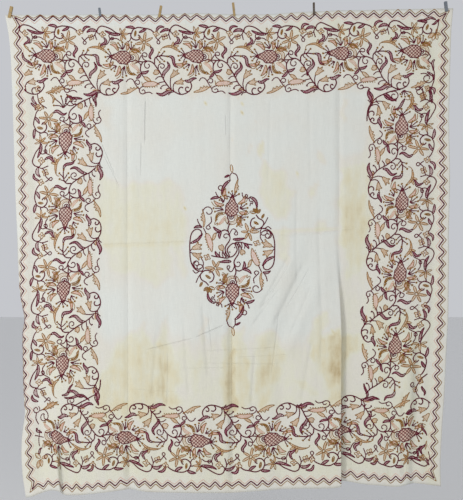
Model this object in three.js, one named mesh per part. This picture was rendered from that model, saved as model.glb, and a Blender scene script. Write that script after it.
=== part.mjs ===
// Crewel embroidery panel hung by its top edge from six spring clothes pegs.
// Millimetres. +X to the viewer's right, +Z up, the embroidered face looks along -Y.
// The origin is the middle of the cloth's top edge.

import * as THREE from "three";

// Cloth: the flat cut size, and how thick the cotton and its wool stitching lie together.
const CLOTH_WIDTH = 2300;
const CLOTH_LENGTH = 2500;
const CLOTH_THICKNESS = 1.5;

// Grid of the faceted sheet: rows are even, columns are even with more added at each fold.
const ROW_COUNT = 30;
const COLUMN_STEP = 80;

// Where lines of the flat cloth show when it hangs, as distances right of the middle.
// down is the flat distance from the top edge.
const SECTIONS = [
  { down: 0, left: -1170, bandLeft: -699, middle: 0, bandRight: 716, right: 1151 },
  { down: 120, left: -1150, bandLeft: -697, middle: -1, bandRight: 716, right: 1141 },
  { down: 240, left: -1140, bandLeft: -695, middle: -2, bandRight: 715, right: 1137 },
  { down: 570, left: -1128, bandLeft: -694, middle: -4, bandRight: 714, right: 1130 },
  { down: 900, left: -1118, bandLeft: -694, middle: -4, bandRight: 712, right: 1134 },
  { down: 1170, left: -1111, bandLeft: -694, middle: -3, bandRight: 711, right: 1128 },
  { down: 1290, left: -1110, bandLeft: -694, middle: -2, bandRight: 710, right: 1129 },
  { down: 1400, left: -1101, bandLeft: -694, middle: -1, bandRight: 708, right: 1128 },
  { down: 1480, left: -1090, bandLeft: -694, middle: 0, bandRight: 707, right: 1127 },
  { down: 1575, left: -1072, bandLeft: -694, middle: 1, bandRight: 705, right: 1126 },
  { down: 1650, left: -1081, bandLeft: -694, middle: 2, bandRight: 704, right: 1124 },
  { down: 1820, left: -1080, bandLeft: -694, middle: 3, bandRight: 701, right: 1115 },
  { down: 2000, left: -1076, bandLeft: -694, middle: 4, bandRight: 699, right: 1107 },
  { down: 2070, left: -1075, bandLeft: -693, middle: 4, bandRight: 699, right: 1103 },
  { down: 2160, left: -1085, bandLeft: -692, middle: 5, bandRight: 698, right: 1096 },
  { down: 2270, left: -1088, bandLeft: -692, middle: 5, bandRight: 698, right: 1090 },
  { down: 2400, left: -1079, bandLeft: -690, middle: 6, bandRight: 699, right: 1085 },
  { down: 2500, left: -1064, bandLeft: -688, middle: 6, bandRight: 699, right: 1088 },
];
const BAND_LEFT_ACROSS = 450;
const MIDDLE_ACROSS = CLOTH_WIDTH / 2;
const BAND_RIGHT_ACROSS = 1870;

// Height of the pegged top edge and of the hem along the cloth.
// The right side hangs higher than the left.
const EDGES = [
  { across: 0, top: 3, hem: -2500 },
  { across: 35, top: 3, hem: -2494 },
  { across: 100, top: 3, hem: -2472 },
  { across: 155, top: 3, hem: -2459 },
  { across: 205, top: 3, hem: -2465 },
  { across: 245, top: 3, hem: -2486 },
  { across: 320, top: 3, hem: -2487 },
  { across: 470, top: 5, hem: -2474 },
  { across: 605, top: 4, hem: -2457 },
  { across: 640, top: 4, hem: -2460 },
  { across: 730, top: 4, hem: -2470 },
  { across: 960, top: 11, hem: -2474 },
  { across: 1070, top: 8, hem: -2475 },
  { across: 1150, top: 6, hem: -2474 },
  { across: 1320, top: 5, hem: -2462 },
  { across: 1420, top: 11, hem: -2454 },
  { across: 1500, top: 17, hem: -2451 },
  { across: 1640, top: 22, hem: -2448 },
  { across: 1695, top: 25, hem: -2440 },
  { across: 1745, top: 26, hem: -2416 },
  { across: 1860, top: 27, hem: -2431 },
  { across: 1950, top: 31, hem: -2436 },
  { across: 2040, top: 32, hem: -2441 },
  { across: 2120, top: 33, hem: -2427 },
  { across: 2190, top: 35, hem: -2428 },
  { across: 2300, top: 36, hem: -2441 },
];
const HEM_REACH_POWER = 4;

// Lapped folds: the cloth turns behind itself over `width` and hides `hides` of it at the hem.
// depth is how far the right side stands behind the left, fading out over `reach`.
const LAPS = [
  { across: 1717, width: 38, hides: 42, depth: 34, reach: 150, start: 1150, full: 1750 },
  { across: 222, width: 44, hides: 20, depth: 26, reach: 90, start: 2040, full: 2420 },
];

// Soft troughs and ridges, each along a line from its top to its foot.
// rise is towards the viewer, so a trough has a negative rise.
const FOLDS = [
  { topAcross: 118, footAcross: 112, start: 250, end: 2500, rise: -11, halfWidth: 36 },
  { topAcross: 2212, footAcross: 2220, start: 120, end: 2500, rise: -11, halfWidth: 36 },
  { topAcross: 607, footAcross: 612, start: 0, end: 2500, rise: -5, halfWidth: 15 },
  { topAcross: 616, footAcross: 622, start: 2150, end: 2700, rise: -16, halfWidth: 26 },
  { topAcross: 1150, footAcross: 1150, start: 60, end: 2500, rise: -5, halfWidth: 14 },
  { topAcross: 1150, footAcross: 1152, start: 1560, end: 2560, rise: -11, halfWidth: 20 },
  { topAcross: 1717, footAcross: 1717, start: 0, end: 1500, rise: -6, halfWidth: 16 },
  { topAcross: 2100, footAcross: 2085, start: 1640, end: 2640, rise: 14, halfWidth: 44 },
  { topAcross: 2150, footAcross: 2142, start: 1640, end: 2640, rise: -13, halfWidth: 26 },
  { topAcross: 1520, footAcross: 1270, start: 1150, end: 1830, rise: 11, halfWidth: 46 },
  { topAcross: 1650, footAcross: 1360, start: 1300, end: 1900, rise: 9, halfWidth: 42 },
  { topAcross: 820, footAcross: 800, start: 1500, end: 2350, rise: -9, halfWidth: 42 },
  { topAcross: 1400, footAcross: 1400, start: 1700, end: 2600, rise: -10, halfWidth: 46 },
  { topAcross: 960, footAcross: 985, start: 1500, end: 2600, rise: 9, halfWidth: 70 },
  { topAcross: 330, footAcross: 350, start: 300, end: 2300, rise: 8, halfWidth: 120 },
  { topAcross: 1985, footAcross: 1975, start: 300, end: 2300, rise: 8, halfWidth: 110 },
];
const FOLD_FADE = 160;

// Left selvage: it curls back on itself, tightest where `tightness` is 1.
const CURL_WIDTH = 60;
const CURL_RADIUS = CURL_WIDTH / Math.PI;
const CURLS = [
  { down: 0, tightness: 0 },
  { down: 900, tightness: 0 },
  { down: 1300, tightness: 0.4 },
  { down: 1500, tightness: 0.95 },
  { down: 1880, tightness: 1 },
  { down: 2080, tightness: 0.45 },
  { down: 2250, tightness: 0.12 },
  { down: 2500, tightness: 0.06 },
];

// Spring clothes pegs along the top edge. grip is how far the jaws reach down the cloth.
const PEGS = [
  { across: 24, length: 60, width: 15, grip: 17, lean: 12, finish: "wood" },
  { across: 471, length: 43, width: 11, grip: 10, lean: -7, finish: "grey" },
  { across: 780, length: 60, width: 12, grip: 16, lean: 10, finish: "wood" },
  { across: 1167, length: 68, width: 12, grip: 9, lean: -6, finish: "wood" },
  { across: 1582, length: 65, width: 10, grip: 20, lean: -1, finish: "dark" },
  { across: 2264, length: 52, width: 15, grip: 17, lean: -6, finish: "grey" },
];
const PEG_GAP = 0.3;
const PEG_JAW_DEPTH = 5;
const PEG_BACK_DEPTH = 7.5;
const PEG_HANDLE_GAP = 4;
const PEG_HANDLE_DEPTH = 3;
const COIL_HEIGHT = 0.48;
const COIL_RADIUS = 2.5;
const COIL_TURNS = 3;
const WIRE_RADIUS = 0.75;
const WIRE_SIDES = 5;
const COIL_CLEARANCE = 0.4;

// Finishes.
const FINISHES = {
  cloth: { color: 0xe0ddcf, roughness: 0.92, metalness: 0 },
  wood: { color: 0xa8905f, roughness: 0.7, metalness: 0 },
  grey: { color: 0x6b7076, roughness: 0.5, metalness: 0 },
  dark: { color: 0x4c4136, roughness: 0.6, metalness: 0 },
  steel: { color: 0x9a9c9e, roughness: 0.35, metalness: 0.9 },
};

// Eased step from 0 to 1.
function ease(value) {
  const x = Math.min(Math.max(value, 0), 1);
  return x * x * (3 - 2 * x);
}

// Smooth curve through a table's rows: `column` read at `at`, measured along `key`.
function readTable(rows, key, column, at) {
  const last = rows.length - 1;
  if (at <= rows[0][key]) return rows[0][column];
  if (at >= rows[last][key]) return rows[last][column];
  const i = rows.findIndex((row) => row[key] > at) - 1;
  const [before, from, to, after] = [i - 1, i, i + 1, i + 2]
    .map((index) => rows[Math.min(Math.max(index, 0), last)]);
  const span = to[key] - from[key];
  const x = (at - from[key]) / span;
  const slopeIn = (to[column] - before[column]) / (to[key] - before[key]) * span;
  const slopeOut = (after[column] - from[column]) / (after[key] - from[key]) * span;
  const rest = 1 - x;
  return from[column] * rest * rest * (1 + 2 * x) + to[column] * x * x * (3 - 2 * x)
    + slopeIn * x * rest * rest - slopeOut * x * x * rest;
}

// Curled selvage: how far a point shows from the curl's root, and how far behind it stands.
function curlEdge(across, down) {
  const bend = readTable(CURLS, "down", "tightness", down) / CURL_RADIUS;
  if (across >= CURL_WIDTH || bend < 1e-6) return { seen: across, behind: 0 };
  const angle = (CURL_WIDTH - across) * bend;
  return {
    seen: CURL_WIDTH - Math.sin(angle) / bend,
    behind: (1 - Math.cos(angle)) / bend,
  };
}

// Distance across the cloth as it shows, once the curl and the laps have hidden their share.
function seenAcross(across, down) {
  let seen = curlEdge(across, down).seen;
  for (const lap of LAPS) {
    const grown = ease((down - lap.start) / (lap.full - lap.start));
    seen -= lap.hides * grown * ease((across - lap.across) / lap.width + 0.5);
  }
  return seen;
}

// The curl's outermost point, which is where the left outline shows.
function seenLeftEdge(down) {
  const bend = readTable(CURLS, "down", "tightness", down) / CURL_RADIUS;
  if (bend * CURL_WIDTH < Math.PI / 2) return curlEdge(0, down).seen;
  return CURL_WIDTH - 1 / bend;
}

// Distance right of the middle.
function placeAcross(across, down) {
  const seen = seenAcross(across, down);
  const anchors = [
    { seen: seenLeftEdge(down), column: "left" },
    { seen: seenAcross(BAND_LEFT_ACROSS, down), column: "bandLeft" },
    { seen: seenAcross(MIDDLE_ACROSS, down), column: "middle" },
    { seen: seenAcross(BAND_RIGHT_ACROSS, down), column: "bandRight" },
    { seen: seenAcross(CLOTH_WIDTH, down), column: "right" },
  ];
  const next = Math.max(1, anchors.findIndex((anchor) => seen <= anchor.seen + 1e-9));
  const [from, to] = [anchors[next - 1], anchors[next]];
  const start = readTable(SECTIONS, "down", from.column, down);
  const end = readTable(SECTIONS, "down", to.column, down);
  return start + (end - start) * (seen - from.seen) / (to.seen - from.seen);
}

// Distance behind the plane of the top edge.
function placeBehind(across, down) {
  let behind = curlEdge(across, down).behind;
  for (const lap of LAPS) {
    const offset = across - lap.across;
    const grown = ease((down - lap.start) / (lap.full - lap.start));
    const side = ease(offset / lap.width + 0.5) - 0.5;
    behind += lap.depth * grown * side * Math.exp(-((offset / lap.reach) ** 2));
  }
  for (const fold of FOLDS) {
    const along = (down - fold.start) / (fold.end - fold.start);
    const centre = fold.topAcross + (fold.footAcross - fold.topAcross) * along;
    const fade = ease((down - fold.start) / FOLD_FADE) * ease((fold.end - down) / FOLD_FADE);
    behind -= fold.rise * fade * Math.exp(-(((across - centre) / fold.halfWidth) ** 2));
  }
  return behind;
}

// Height, from the pegged edge down to the uneven hem.
function placeHeight(across, down) {
  const part = down / CLOTH_LENGTH;
  const left = EDGES[0];
  const right = EDGES[EDGES.length - 1];
  const evenHem = left.hem + (right.hem - left.hem) * across / CLOTH_WIDTH;
  const top = readTable(EDGES, "across", "top", across);
  const hem = readTable(EDGES, "across", "hem", across);
  return top * (1 - part) + evenHem * part + (hem - evenHem) * part ** HEM_REACH_POWER;
}

// Place of a point of the flat cloth's middle layer as it hangs.
function drape(across, down) {
  return new THREE.Vector3(
    placeAcross(across, down),
    placeBehind(across, down),
    placeHeight(across, down),
  );
}

// Direction that the embroidered face looks at a point.
function facing(across, down) {
  const step = 1;
  const [left, right] = [Math.max(across - step, 0), Math.min(across + step, CLOTH_WIDTH)];
  const [upper, lower] = [Math.max(down - step, 0), Math.min(down + step, CLOTH_LENGTH)];
  const acrossward = drape(right, down).sub(drape(left, down));
  const downward = drape(across, lower).sub(drape(across, upper));
  return downward.cross(acrossward).normalize();
}

// Column places: an even step, with extra columns at the curl, the laps and the sharp creases.
function clothColumns() {
  const columns = new Set([0, 10, 20, 30, 40, 50, 60]);
  for (let across = COLUMN_STEP; across < CLOTH_WIDTH; across += COLUMN_STEP) columns.add(across);
  columns.add(CLOTH_WIDTH);
  for (const lap of LAPS) {
    for (const part of [-1.2, -0.5, -0.3, -0.1, 0.1, 0.3, 0.5, 1.2]) {
      columns.add(lap.across + part * lap.width);
    }
  }
  for (const fold of FOLDS.filter((row) => row.halfWidth < 30 && row.topAcross !== LAPS[0].across)) {
    for (const part of [-1, 0, 1]) columns.add(fold.footAcross + part * fold.halfWidth);
  }
  const sorted = [...columns].sort((a, b) => a - b);
  return sorted.filter((across, i) => i === 0 || across - sorted[i - 1] > 4);
}

// Closed sheet: a front and a back layer of the grid, joined round their edge.
function buildSheet() {
  const columns = clothColumns();
  const rows = Array.from({ length: ROW_COUNT + 1 }, (_, i) => i * CLOTH_LENGTH / ROW_COUNT);
  const positions = [];
  for (const side of [1, -1]) {
    for (const down of rows) {
      for (const across of columns) {
        const half = facing(across, down).multiplyScalar(side * CLOTH_THICKNESS / 2);
        positions.push(...drape(across, down).add(half).toArray());
      }
    }
  }
  const width = columns.length;
  const layer = width * rows.length;
  const faces = [];
  const addQuad = (a, b, c, d) => faces.push(a, b, c, a, c, d);
  for (let r = 0; r < rows.length - 1; r += 1) {
    for (let c = 0; c < width - 1; c += 1) {
      const upper = r * width + c;
      const lower = upper + width;
      addQuad(upper, lower, lower + 1, upper + 1);
      addQuad(layer + upper, layer + upper + 1, layer + lower + 1, layer + lower);
    }
  }
  const rim = [];
  for (let c = 0; c < width - 1; c += 1) rim.push(c);
  for (let r = 0; r < rows.length - 1; r += 1) rim.push(r * width + width - 1);
  for (let c = width - 1; c > 0; c -= 1) rim.push((rows.length - 1) * width + c);
  for (let r = rows.length - 1; r > 0; r -= 1) rim.push(r * width);
  rim.forEach((from, i) => {
    const to = rim[(i + 1) % rim.length];
    addQuad(from, to, layer + to, layer + from);
  });
  const geometry = new THREE.BufferGeometry();
  geometry.setAttribute("position", new THREE.Float32BufferAttribute(positions, 3));
  geometry.setIndex(faces);
  geometry.computeVertexNormals();
  return geometry;
}

// One leg: its side outline, jaw end at the bottom, with a groove that clears the coil.
function buildLeg(peg) {
  const coilAt = COIL_HEIGHT * peg.length;
  const groove = COIL_RADIUS + WIRE_RADIUS + COIL_CLEARANCE;
  const inner = CLOTH_THICKNESS / 2 + PEG_GAP;
  const grooveHalf = Math.sqrt(groove * groove - inner * inner);
  const outline = new THREE.Shape();
  outline.moveTo(inner, 0);
  outline.lineTo(inner + PEG_JAW_DEPTH - 1.5, 0);
  outline.lineTo(inner + PEG_JAW_DEPTH, 3);
  outline.lineTo(inner + PEG_BACK_DEPTH, coilAt);
  outline.lineTo(inner + PEG_HANDLE_GAP + PEG_HANDLE_DEPTH, peg.length);
  outline.lineTo(inner + PEG_HANDLE_GAP, peg.length);
  outline.lineTo(inner, coilAt + grooveHalf);
  for (const turn of [0.6, 0.2, -0.2, -0.6]) {
    const reach = turn * grooveHalf;
    outline.lineTo(Math.sqrt(groove * groove - reach * reach), coilAt + reach);
  }
  outline.lineTo(inner, coilAt - grooveHalf);
  outline.closePath();
  const geometry = new THREE.ExtrudeGeometry(outline, { depth: peg.width, bevelEnabled: false });
  geometry.translate(0, 0, -peg.width / 2);
  return geometry;
}

// Spring: an arm across the front leg, the coil between the legs, an arm across the back leg.
function buildSpring(peg) {
  const coilAt = COIL_HEIGHT * peg.length;
  const side = peg.width / 2 + WIRE_RADIUS + COIL_CLEARANCE;
  const face = CLOTH_THICKNESS / 2 + PEG_GAP + PEG_BACK_DEPTH + WIRE_RADIUS + COIL_CLEARANCE;
  const armEnd = peg.width / 2 - 1.5;
  const points = [
    new THREE.Vector3(armEnd, -face, coilAt),
    new THREE.Vector3(-armEnd, -face, coilAt),
    new THREE.Vector3(-side, -face + 1.5, coilAt),
  ];
  const stepsPerTurn = 8;
  const steps = COIL_TURNS * stepsPerTurn;
  for (let i = 0; i <= steps; i += 1) {
    const angle = Math.PI + (i / stepsPerTurn) * 2 * Math.PI - Math.PI * (i / steps);
    points.push(new THREE.Vector3(
      -side + 2 * side * (i / steps),
      COIL_RADIUS * Math.cos(angle),
      coilAt - COIL_RADIUS * Math.sin(angle),
    ));
  }
  points.push(new THREE.Vector3(side, face - 1.5, coilAt));
  points.push(new THREE.Vector3(armEnd, face, coilAt));
  points.push(new THREE.Vector3(-armEnd, face, coilAt));
  const wire = new THREE.Shape();
  for (let i = 0; i < WIRE_SIDES; i += 1) {
    const angle = (i / WIRE_SIDES) * 2 * Math.PI;
    const corner = [WIRE_RADIUS * Math.cos(angle), WIRE_RADIUS * Math.sin(angle)];
    if (i === 0) wire.moveTo(...corner);
    else wire.lineTo(...corner);
  }
  wire.closePath();
  const path = new THREE.CatmullRomCurve3(points, false, "catmullrom", 0.3);
  return new THREE.ExtrudeGeometry(wire, {
    steps: Math.round(points.length * 1.6),
    extrudePath: path,
    bevelEnabled: false,
  });
}

function makeMesh(name, geometry, finish) {
  const mesh = new THREE.Mesh(geometry, new THREE.MeshStandardMaterial(FINISHES[finish]));
  mesh.name = name;
  return mesh;
}

const panel = new THREE.Group();
panel.name = "crewel_panel";
panel.add(makeMesh("cloth", buildSheet(), "cloth"));

// Each peg: two legs and a spring, leant about the cloth's edge and set down by its grip.
PEGS.forEach((peg, i) => {
  const number = i + 1;
  const group = new THREE.Group();
  const backLeg = makeMesh(`peg_${number}_back`, buildLeg(peg), peg.finish);
  backLeg.rotation.set(Math.PI / 2, Math.PI / 2, 0);
  const frontLeg = makeMesh(`peg_${number}_front`, buildLeg(peg), peg.finish);
  frontLeg.rotation.set(Math.PI / 2, -Math.PI / 2, 0);
  group.add(frontLeg, backLeg, makeMesh(`peg_${number}_spring`, buildSpring(peg), "steel"));
  const edge = drape(peg.across, 0);
  const lean = THREE.MathUtils.degToRad(peg.lean);
  group.position.set(
    edge.x - peg.grip * Math.sin(lean),
    edge.y,
    edge.z - peg.grip * Math.cos(lean),
  );
  group.rotation.y = lean;
  panel.add(group);
});

export default panel;
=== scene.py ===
import math

import bpy
import numpy as np
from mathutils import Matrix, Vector


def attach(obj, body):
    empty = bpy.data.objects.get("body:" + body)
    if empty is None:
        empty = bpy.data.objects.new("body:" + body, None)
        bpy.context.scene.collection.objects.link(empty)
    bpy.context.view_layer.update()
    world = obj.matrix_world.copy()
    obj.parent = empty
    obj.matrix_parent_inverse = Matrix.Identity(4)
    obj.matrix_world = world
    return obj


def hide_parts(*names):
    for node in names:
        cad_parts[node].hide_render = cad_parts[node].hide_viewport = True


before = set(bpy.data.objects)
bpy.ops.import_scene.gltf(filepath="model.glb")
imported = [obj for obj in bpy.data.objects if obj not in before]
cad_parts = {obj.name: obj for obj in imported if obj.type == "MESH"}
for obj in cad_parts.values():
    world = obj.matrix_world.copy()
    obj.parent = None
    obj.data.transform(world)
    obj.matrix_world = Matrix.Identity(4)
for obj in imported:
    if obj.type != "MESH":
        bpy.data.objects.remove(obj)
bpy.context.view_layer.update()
bpy.ops.object.select_all(action="DESELECT")


# THE CLOTH
# One piece of cream cotton, cut 2300 by 2500 mm, worn soft and thin. It hangs from its top edge, so
# everything below is told in millimetres of the flat cloth: across from its left cut edge and down
# from its top one.
MM = 0.001
CLOTH_WIDTH = 2300.0
CLOTH_LENGTH = 2500.0
CLOTH_THICKNESS = 0.9
BAND_LEFT, MIDDLE, BAND_RIGHT = 450.0, 1150.0, 1870.0


def table(columns, *rows):
    """A table's rows as dicts. A row may leave out its last columns."""
    return [dict(zip(columns.split(), row)) for row in rows]


# Where the cloth's edges and three lines down it hang, to the right of its top edge's middle.
SECTIONS = table(
    "down left band_left middle band_right right",
    (0, -1170, -699, 0, 716, 1151),
    (120, -1150, -697, -1, 716, 1141),
    (240, -1140, -695, -2, 715, 1137),
    (570, -1128, -694, -4, 714, 1130),
    (900, -1118, -694, -4, 712, 1134),
    (1170, -1111, -694, -3, 711, 1128),
    (1290, -1110, -694, -2, 710, 1129),
    (1400, -1101, -694, -1, 708, 1128),
    (1480, -1090, -694, 0, 707, 1127),
    (1575, -1072, -694, 1, 705, 1126),
    (1650, -1081, -694, 2, 704, 1124),
    (1820, -1080, -694, 3, 701, 1115),
    (2000, -1076, -694, 4, 699, 1107),
    (2070, -1075, -693, 4, 699, 1103),
    (2160, -1085, -692, 5, 698, 1096),
    (2270, -1088, -692, 5, 698, 1090),
    (2400, -1079, -690, 6, 699, 1085),
    (2500, -1064, -688, 6, 699, 1088),
)
# Heights of the top edge and of the hem.
EDGES = table(
    "across top hem",
    (0, 3, -2500),
    (35, 3, -2494),
    (100, 3, -2472),
    (155, 3, -2459),
    (205, 3, -2465),
    (245, 3, -2486),
    (320, 3, -2487),
    (470, 5, -2474),
    (605, 4, -2457),
    (640, 4, -2460),
    (730, 4, -2470),
    (960, 11, -2474),
    (1070, 8, -2475),
    (1150, 6, -2474),
    (1320, 5, -2462),
    (1420, 11, -2454),
    (1500, 17, -2451),
    (1640, 22, -2448),
    (1695, 25, -2440),
    (1745, 26, -2416),
    (1860, 27, -2431),
    (1950, 31, -2436),
    (2040, 32, -2441),
    (2120, 33, -2427),
    (2190, 35, -2428),
    (2300, 36, -2441),
)
# How soon the hem's unevenness dies away up the cloth.
HEM_REACH_POWER = 4
# Lapped folds: each hides a strip of cloth, more and more from start to full.
LAPS = table(
    "across width hides depth reach start full",
    (1717, 38, 42, 34, 150, 1150, 1750),
    (222, 44, 20, 26, 90, 2040, 2420),
)
# The left edge curls back on itself, most where tightness is 1.
CURL_WIDTH = 60.0
CURL_RADIUS = CURL_WIDTH / math.pi
CURLS = table(
    "down tightness",
    (0, 0),
    (900, 0),
    (1300, 0.4),
    (1500, 0.95),
    (1880, 1),
    (2080, 0.45),
    (2250, 0.12),
    (2500, 0.06),
)
# Soft troughs and ridges along slanting lines; rise is towards the viewer. fade is how soon one
# dies away at its ends.
FOLDS = table(
    "top foot start end rise half fade",
    (118, 112, 250, 2500, -11, 36, 160),
    (2212, 2220, 120, 2500, -11, 36, 160),
    (607, 612, 0, 2500, -5, 15, 160),
    (616, 622, 2150, 2700, -16, 26, 160),
    (1150, 1150, 60, 2500, -5, 14, 160),
    (1150, 1152, 1560, 2560, -11, 20, 160),
    (1717, 1717, 0, 1500, -6, 16, 160),
    (2100, 2085, 1640, 2640, 14, 44, 160),
    (2150, 2142, 1640, 2640, -13, 26, 160),
    (1520, 1270, 1150, 1830, 11, 46, 160),
    (1650, 1360, 1300, 1900, 9, 42, 160),
    (820, 800, 1500, 2350, -9, 42, 160),
    (1400, 1400, 1700, 2600, -10, 46, 160),
    (960, 985, 1500, 2600, 9, 70, 160),
    (330, 350, 300, 2300, 8, 120, 160),
    (1985, 1975, 300, 2300, 8, 110, 160),
)


def eased(x):
    """0 below 0, 1 above 1, and a smooth rise between."""
    x = np.clip(x, 0.0, 1.0)
    return x * x * (3.0 - 2.0 * x)


def read_table(rows, key, column, at):
    """Smooth curve through a table's rows: column read at places along key."""
    knots = np.array([row[key] for row in rows], float)
    values = np.array([row[column] for row in rows], float)
    wide_knots = np.concatenate([knots[:1], knots, knots[-1:]])
    wide_values = np.concatenate([values[:1], values, values[-1:]])
    slopes = (wide_values[2:] - wide_values[:-2]) / (wide_knots[2:] - wide_knots[:-2])
    at = np.clip(at, knots[0], knots[-1])
    i = np.clip(np.searchsorted(knots, at, side="right") - 1, 0, len(knots) - 2)
    span = knots[i + 1] - knots[i]
    x = (at - knots[i]) / span
    rest = 1.0 - x
    held = values[i] * rest * rest * (1 + 2 * x) + values[i + 1] * x * x * (3 - 2 * x)
    return held + (slopes[i] * rest - slopes[i + 1] * x) * span * x * rest


def curl_bend(down):
    """How tightly the edge is curled, as one over its radius."""
    return np.maximum(read_table(CURLS, "down", "tightness", down), 1e-5) / CURL_RADIUS


def curl_edge(across, down):
    """How far a point of the curled edge shows, and how far behind the cloth it stands."""
    bend = curl_bend(down)
    angle = np.maximum(CURL_WIDTH - across, 0.0) * bend
    seen = np.where(across < CURL_WIDTH, CURL_WIDTH - np.sin(angle) / bend, across)
    return seen, (1.0 - np.cos(angle)) / bend


def seen_across(across, down):
    """Across as it shows from the front, less what the curl and the laps hide."""
    seen = curl_edge(across, down)[0]
    for lap in LAPS:
        grown = eased((down - lap["start"]) / (lap["full"] - lap["start"]))
        seen = seen - lap["hides"] * grown * eased((across - lap["across"]) / lap["width"] + 0.5)
    return seen


# Patches where the cloth ripples: wavy across and down the cloth, dying away over its reach.
RIPPLES = table(
    "across down reach_across reach_down height wave lean",
    (1150, 1250, 3000, 3000, 1.5, 620, 0.12),
    (1500, 1500, 620, 700, 2.2, 330, 0.22),
    (760, 2050, 480, 520, 1.8, 210, -0.04),
    (1330, 2080, 300, 420, 1.6, 150, 0.3),
    (560, 620, 260, 420, 1.1, 190, -0.5),
    (1200, 1890, 240, 130, 0.8, 52, 8.0),
    (2120, 1500, 260, 900, 1.2, 170, 0.05),
    (150, 1900, 240, 700, 1.4, 130, 0.06),
)


def ripples(across, down):
    """How far back the ripples push each point."""
    total = np.zeros_like(across)
    for patch in RIPPLES:
        x = (across - patch["across"]) / patch["reach_across"]
        y = (down - patch["down"]) / patch["reach_down"]
        along = (across + patch["lean"] * down) / math.hypot(1, patch["lean"]) / patch["wave"]
        drift = 0.6 * np.sin(down / 170 + across / 430)
        swell = patch["height"] * np.exp(-x * x - y * y)
        total = total + swell * np.sin(2 * math.pi * along + drift)
    return total


def drape(across, down):
    """Where the flat cloth's points hang, in millimetres: to the right, back and up."""
    across, down = np.broadcast_arrays(np.asarray(across, float), np.asarray(down, float))
    seen = seen_across(across, down)
    bend = curl_bend(down)
    turn = np.minimum(CURL_WIDTH * bend, math.pi / 2)
    seen_from = CURL_WIDTH - np.sin(turn) / bend
    place_from = read_table(SECTIONS, "down", "left", down)
    right = np.zeros_like(seen)
    for line, column in (
        (BAND_LEFT, "band_left"),
        (MIDDLE, "middle"),
        (BAND_RIGHT, "band_right"),
        (CLOTH_WIDTH, "right"),
    ):
        seen_to = seen_across(np.full_like(across, line), down)
        place_to = read_table(SECTIONS, "down", column, down)
        between = (seen - seen_from) / (seen_to - seen_from)
        here = (seen > seen_from) | (column == "band_left")
        right = np.where(here, place_from + (place_to - place_from) * between, right)
        seen_from, place_from = seen_to, place_to

    behind = np.where(across < CURL_WIDTH, curl_edge(across, down)[1], 0.0)
    for lap in LAPS:
        offset = across - lap["across"]
        grown = eased((down - lap["start"]) / (lap["full"] - lap["start"]))
        side = eased(offset / lap["width"] + 0.5) - 0.5
        behind = behind + lap["depth"] * grown * side * np.exp(-((offset / lap["reach"]) ** 2))
    for fold in FOLDS:
        along = (down - fold["start"]) / (fold["end"] - fold["start"])
        centre = fold["top"] + (fold["foot"] - fold["top"]) * along
        shown = eased((down - fold["start"]) / fold["fade"])
        shown = shown * eased((fold["end"] - down) / fold["fade"])
        offset = (across - centre) / fold["half"]
        behind = behind - fold["rise"] * shown * np.exp(-(offset**2))

    behind = behind + ripples(across, down)

    part = down / CLOTH_LENGTH
    left_hem, right_hem = EDGES[0]["hem"], EDGES[-1]["hem"]
    even_hem = left_hem + (right_hem - left_hem) * across / CLOTH_WIDTH
    top = read_table(EDGES, "across", "top", across)
    hem = read_table(EDGES, "across", "hem", across)
    height = top * (1 - part) + even_hem * part + (hem - even_hem) * part**HEM_REACH_POWER
    return np.stack([right, behind, height], axis=-1)


def lie(across, down):
    """Places on the draped cloth with its two directions and the way its face looks."""
    step = 0.5
    place = drape(across, down)
    rightward = (drape(across + step, down) - drape(across - step, down)) / (2 * step)
    downward = (drape(across, down + step) - drape(across, down - step)) / (2 * step)
    face = np.cross(downward, rightward)
    face /= np.linalg.norm(face, axis=-1, keepdims=True)
    return place, rightward, downward, face


def make_mesh(name, vertices, quads, triangles=None, uv=None):
    """A mesh object from arrays, in millimetres, with an optional UV for each vertex."""
    mesh = bpy.data.meshes.new(name)
    kinds = [quads] if triangles is None else [quads, triangles]
    corners = np.concatenate([faces.ravel() for faces in kinds]).astype(np.int32)
    sizes = np.concatenate([np.full(len(faces), faces.shape[1]) for faces in kinds])
    starts = np.concatenate([[0], np.cumsum(sizes)[:-1]]).astype(np.int32)
    mesh.vertices.add(len(vertices))
    mesh.vertices.foreach_set("co", (vertices * MM).astype(np.float32).ravel())
    mesh.loops.add(len(corners))
    mesh.loops.foreach_set("vertex_index", corners)
    mesh.polygons.add(len(sizes))
    mesh.polygons.foreach_set("loop_start", starts)
    mesh.polygons.foreach_set("use_smooth", np.ones(len(sizes), bool))
    if uv is not None:
        layer = mesh.uv_layers.new(name="UVMap")
        layer.data.foreach_set("uv", uv[corners].astype(np.float32).ravel())
    mesh.update(calc_edges=True)
    mesh.validate()
    piece = bpy.data.objects.new(name, mesh)
    bpy.context.scene.collection.objects.link(piece)
    return piece


SHARP_CREASES = (607.0, 616.0, 1150.0, 2146.0)
ROWS_OF_POINTS = 161


def cloth_columns():
    """Even columns, with finer ones at the curl, the laps and the sharp creases."""
    wide_step, fine_step, least_gap = 12.0, 6.0, 1.6
    columns = list(np.arange(0, CURL_WIDTH, fine_step))
    columns += list(np.arange(CURL_WIDTH, CLOTH_WIDTH, wide_step))
    for lap in LAPS:
        columns += list(lap["across"] + np.linspace(-0.8, 0.8, 17) * lap["width"])
    for crease in SHARP_CREASES:
        columns += list(crease + np.arange(-24.0, 25.0, fine_step))
    columns = np.unique(np.round(np.array(columns + [CLOTH_WIDTH]), 1))
    keep = np.concatenate([[True], np.diff(columns) > least_gap])
    return columns[keep]


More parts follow.
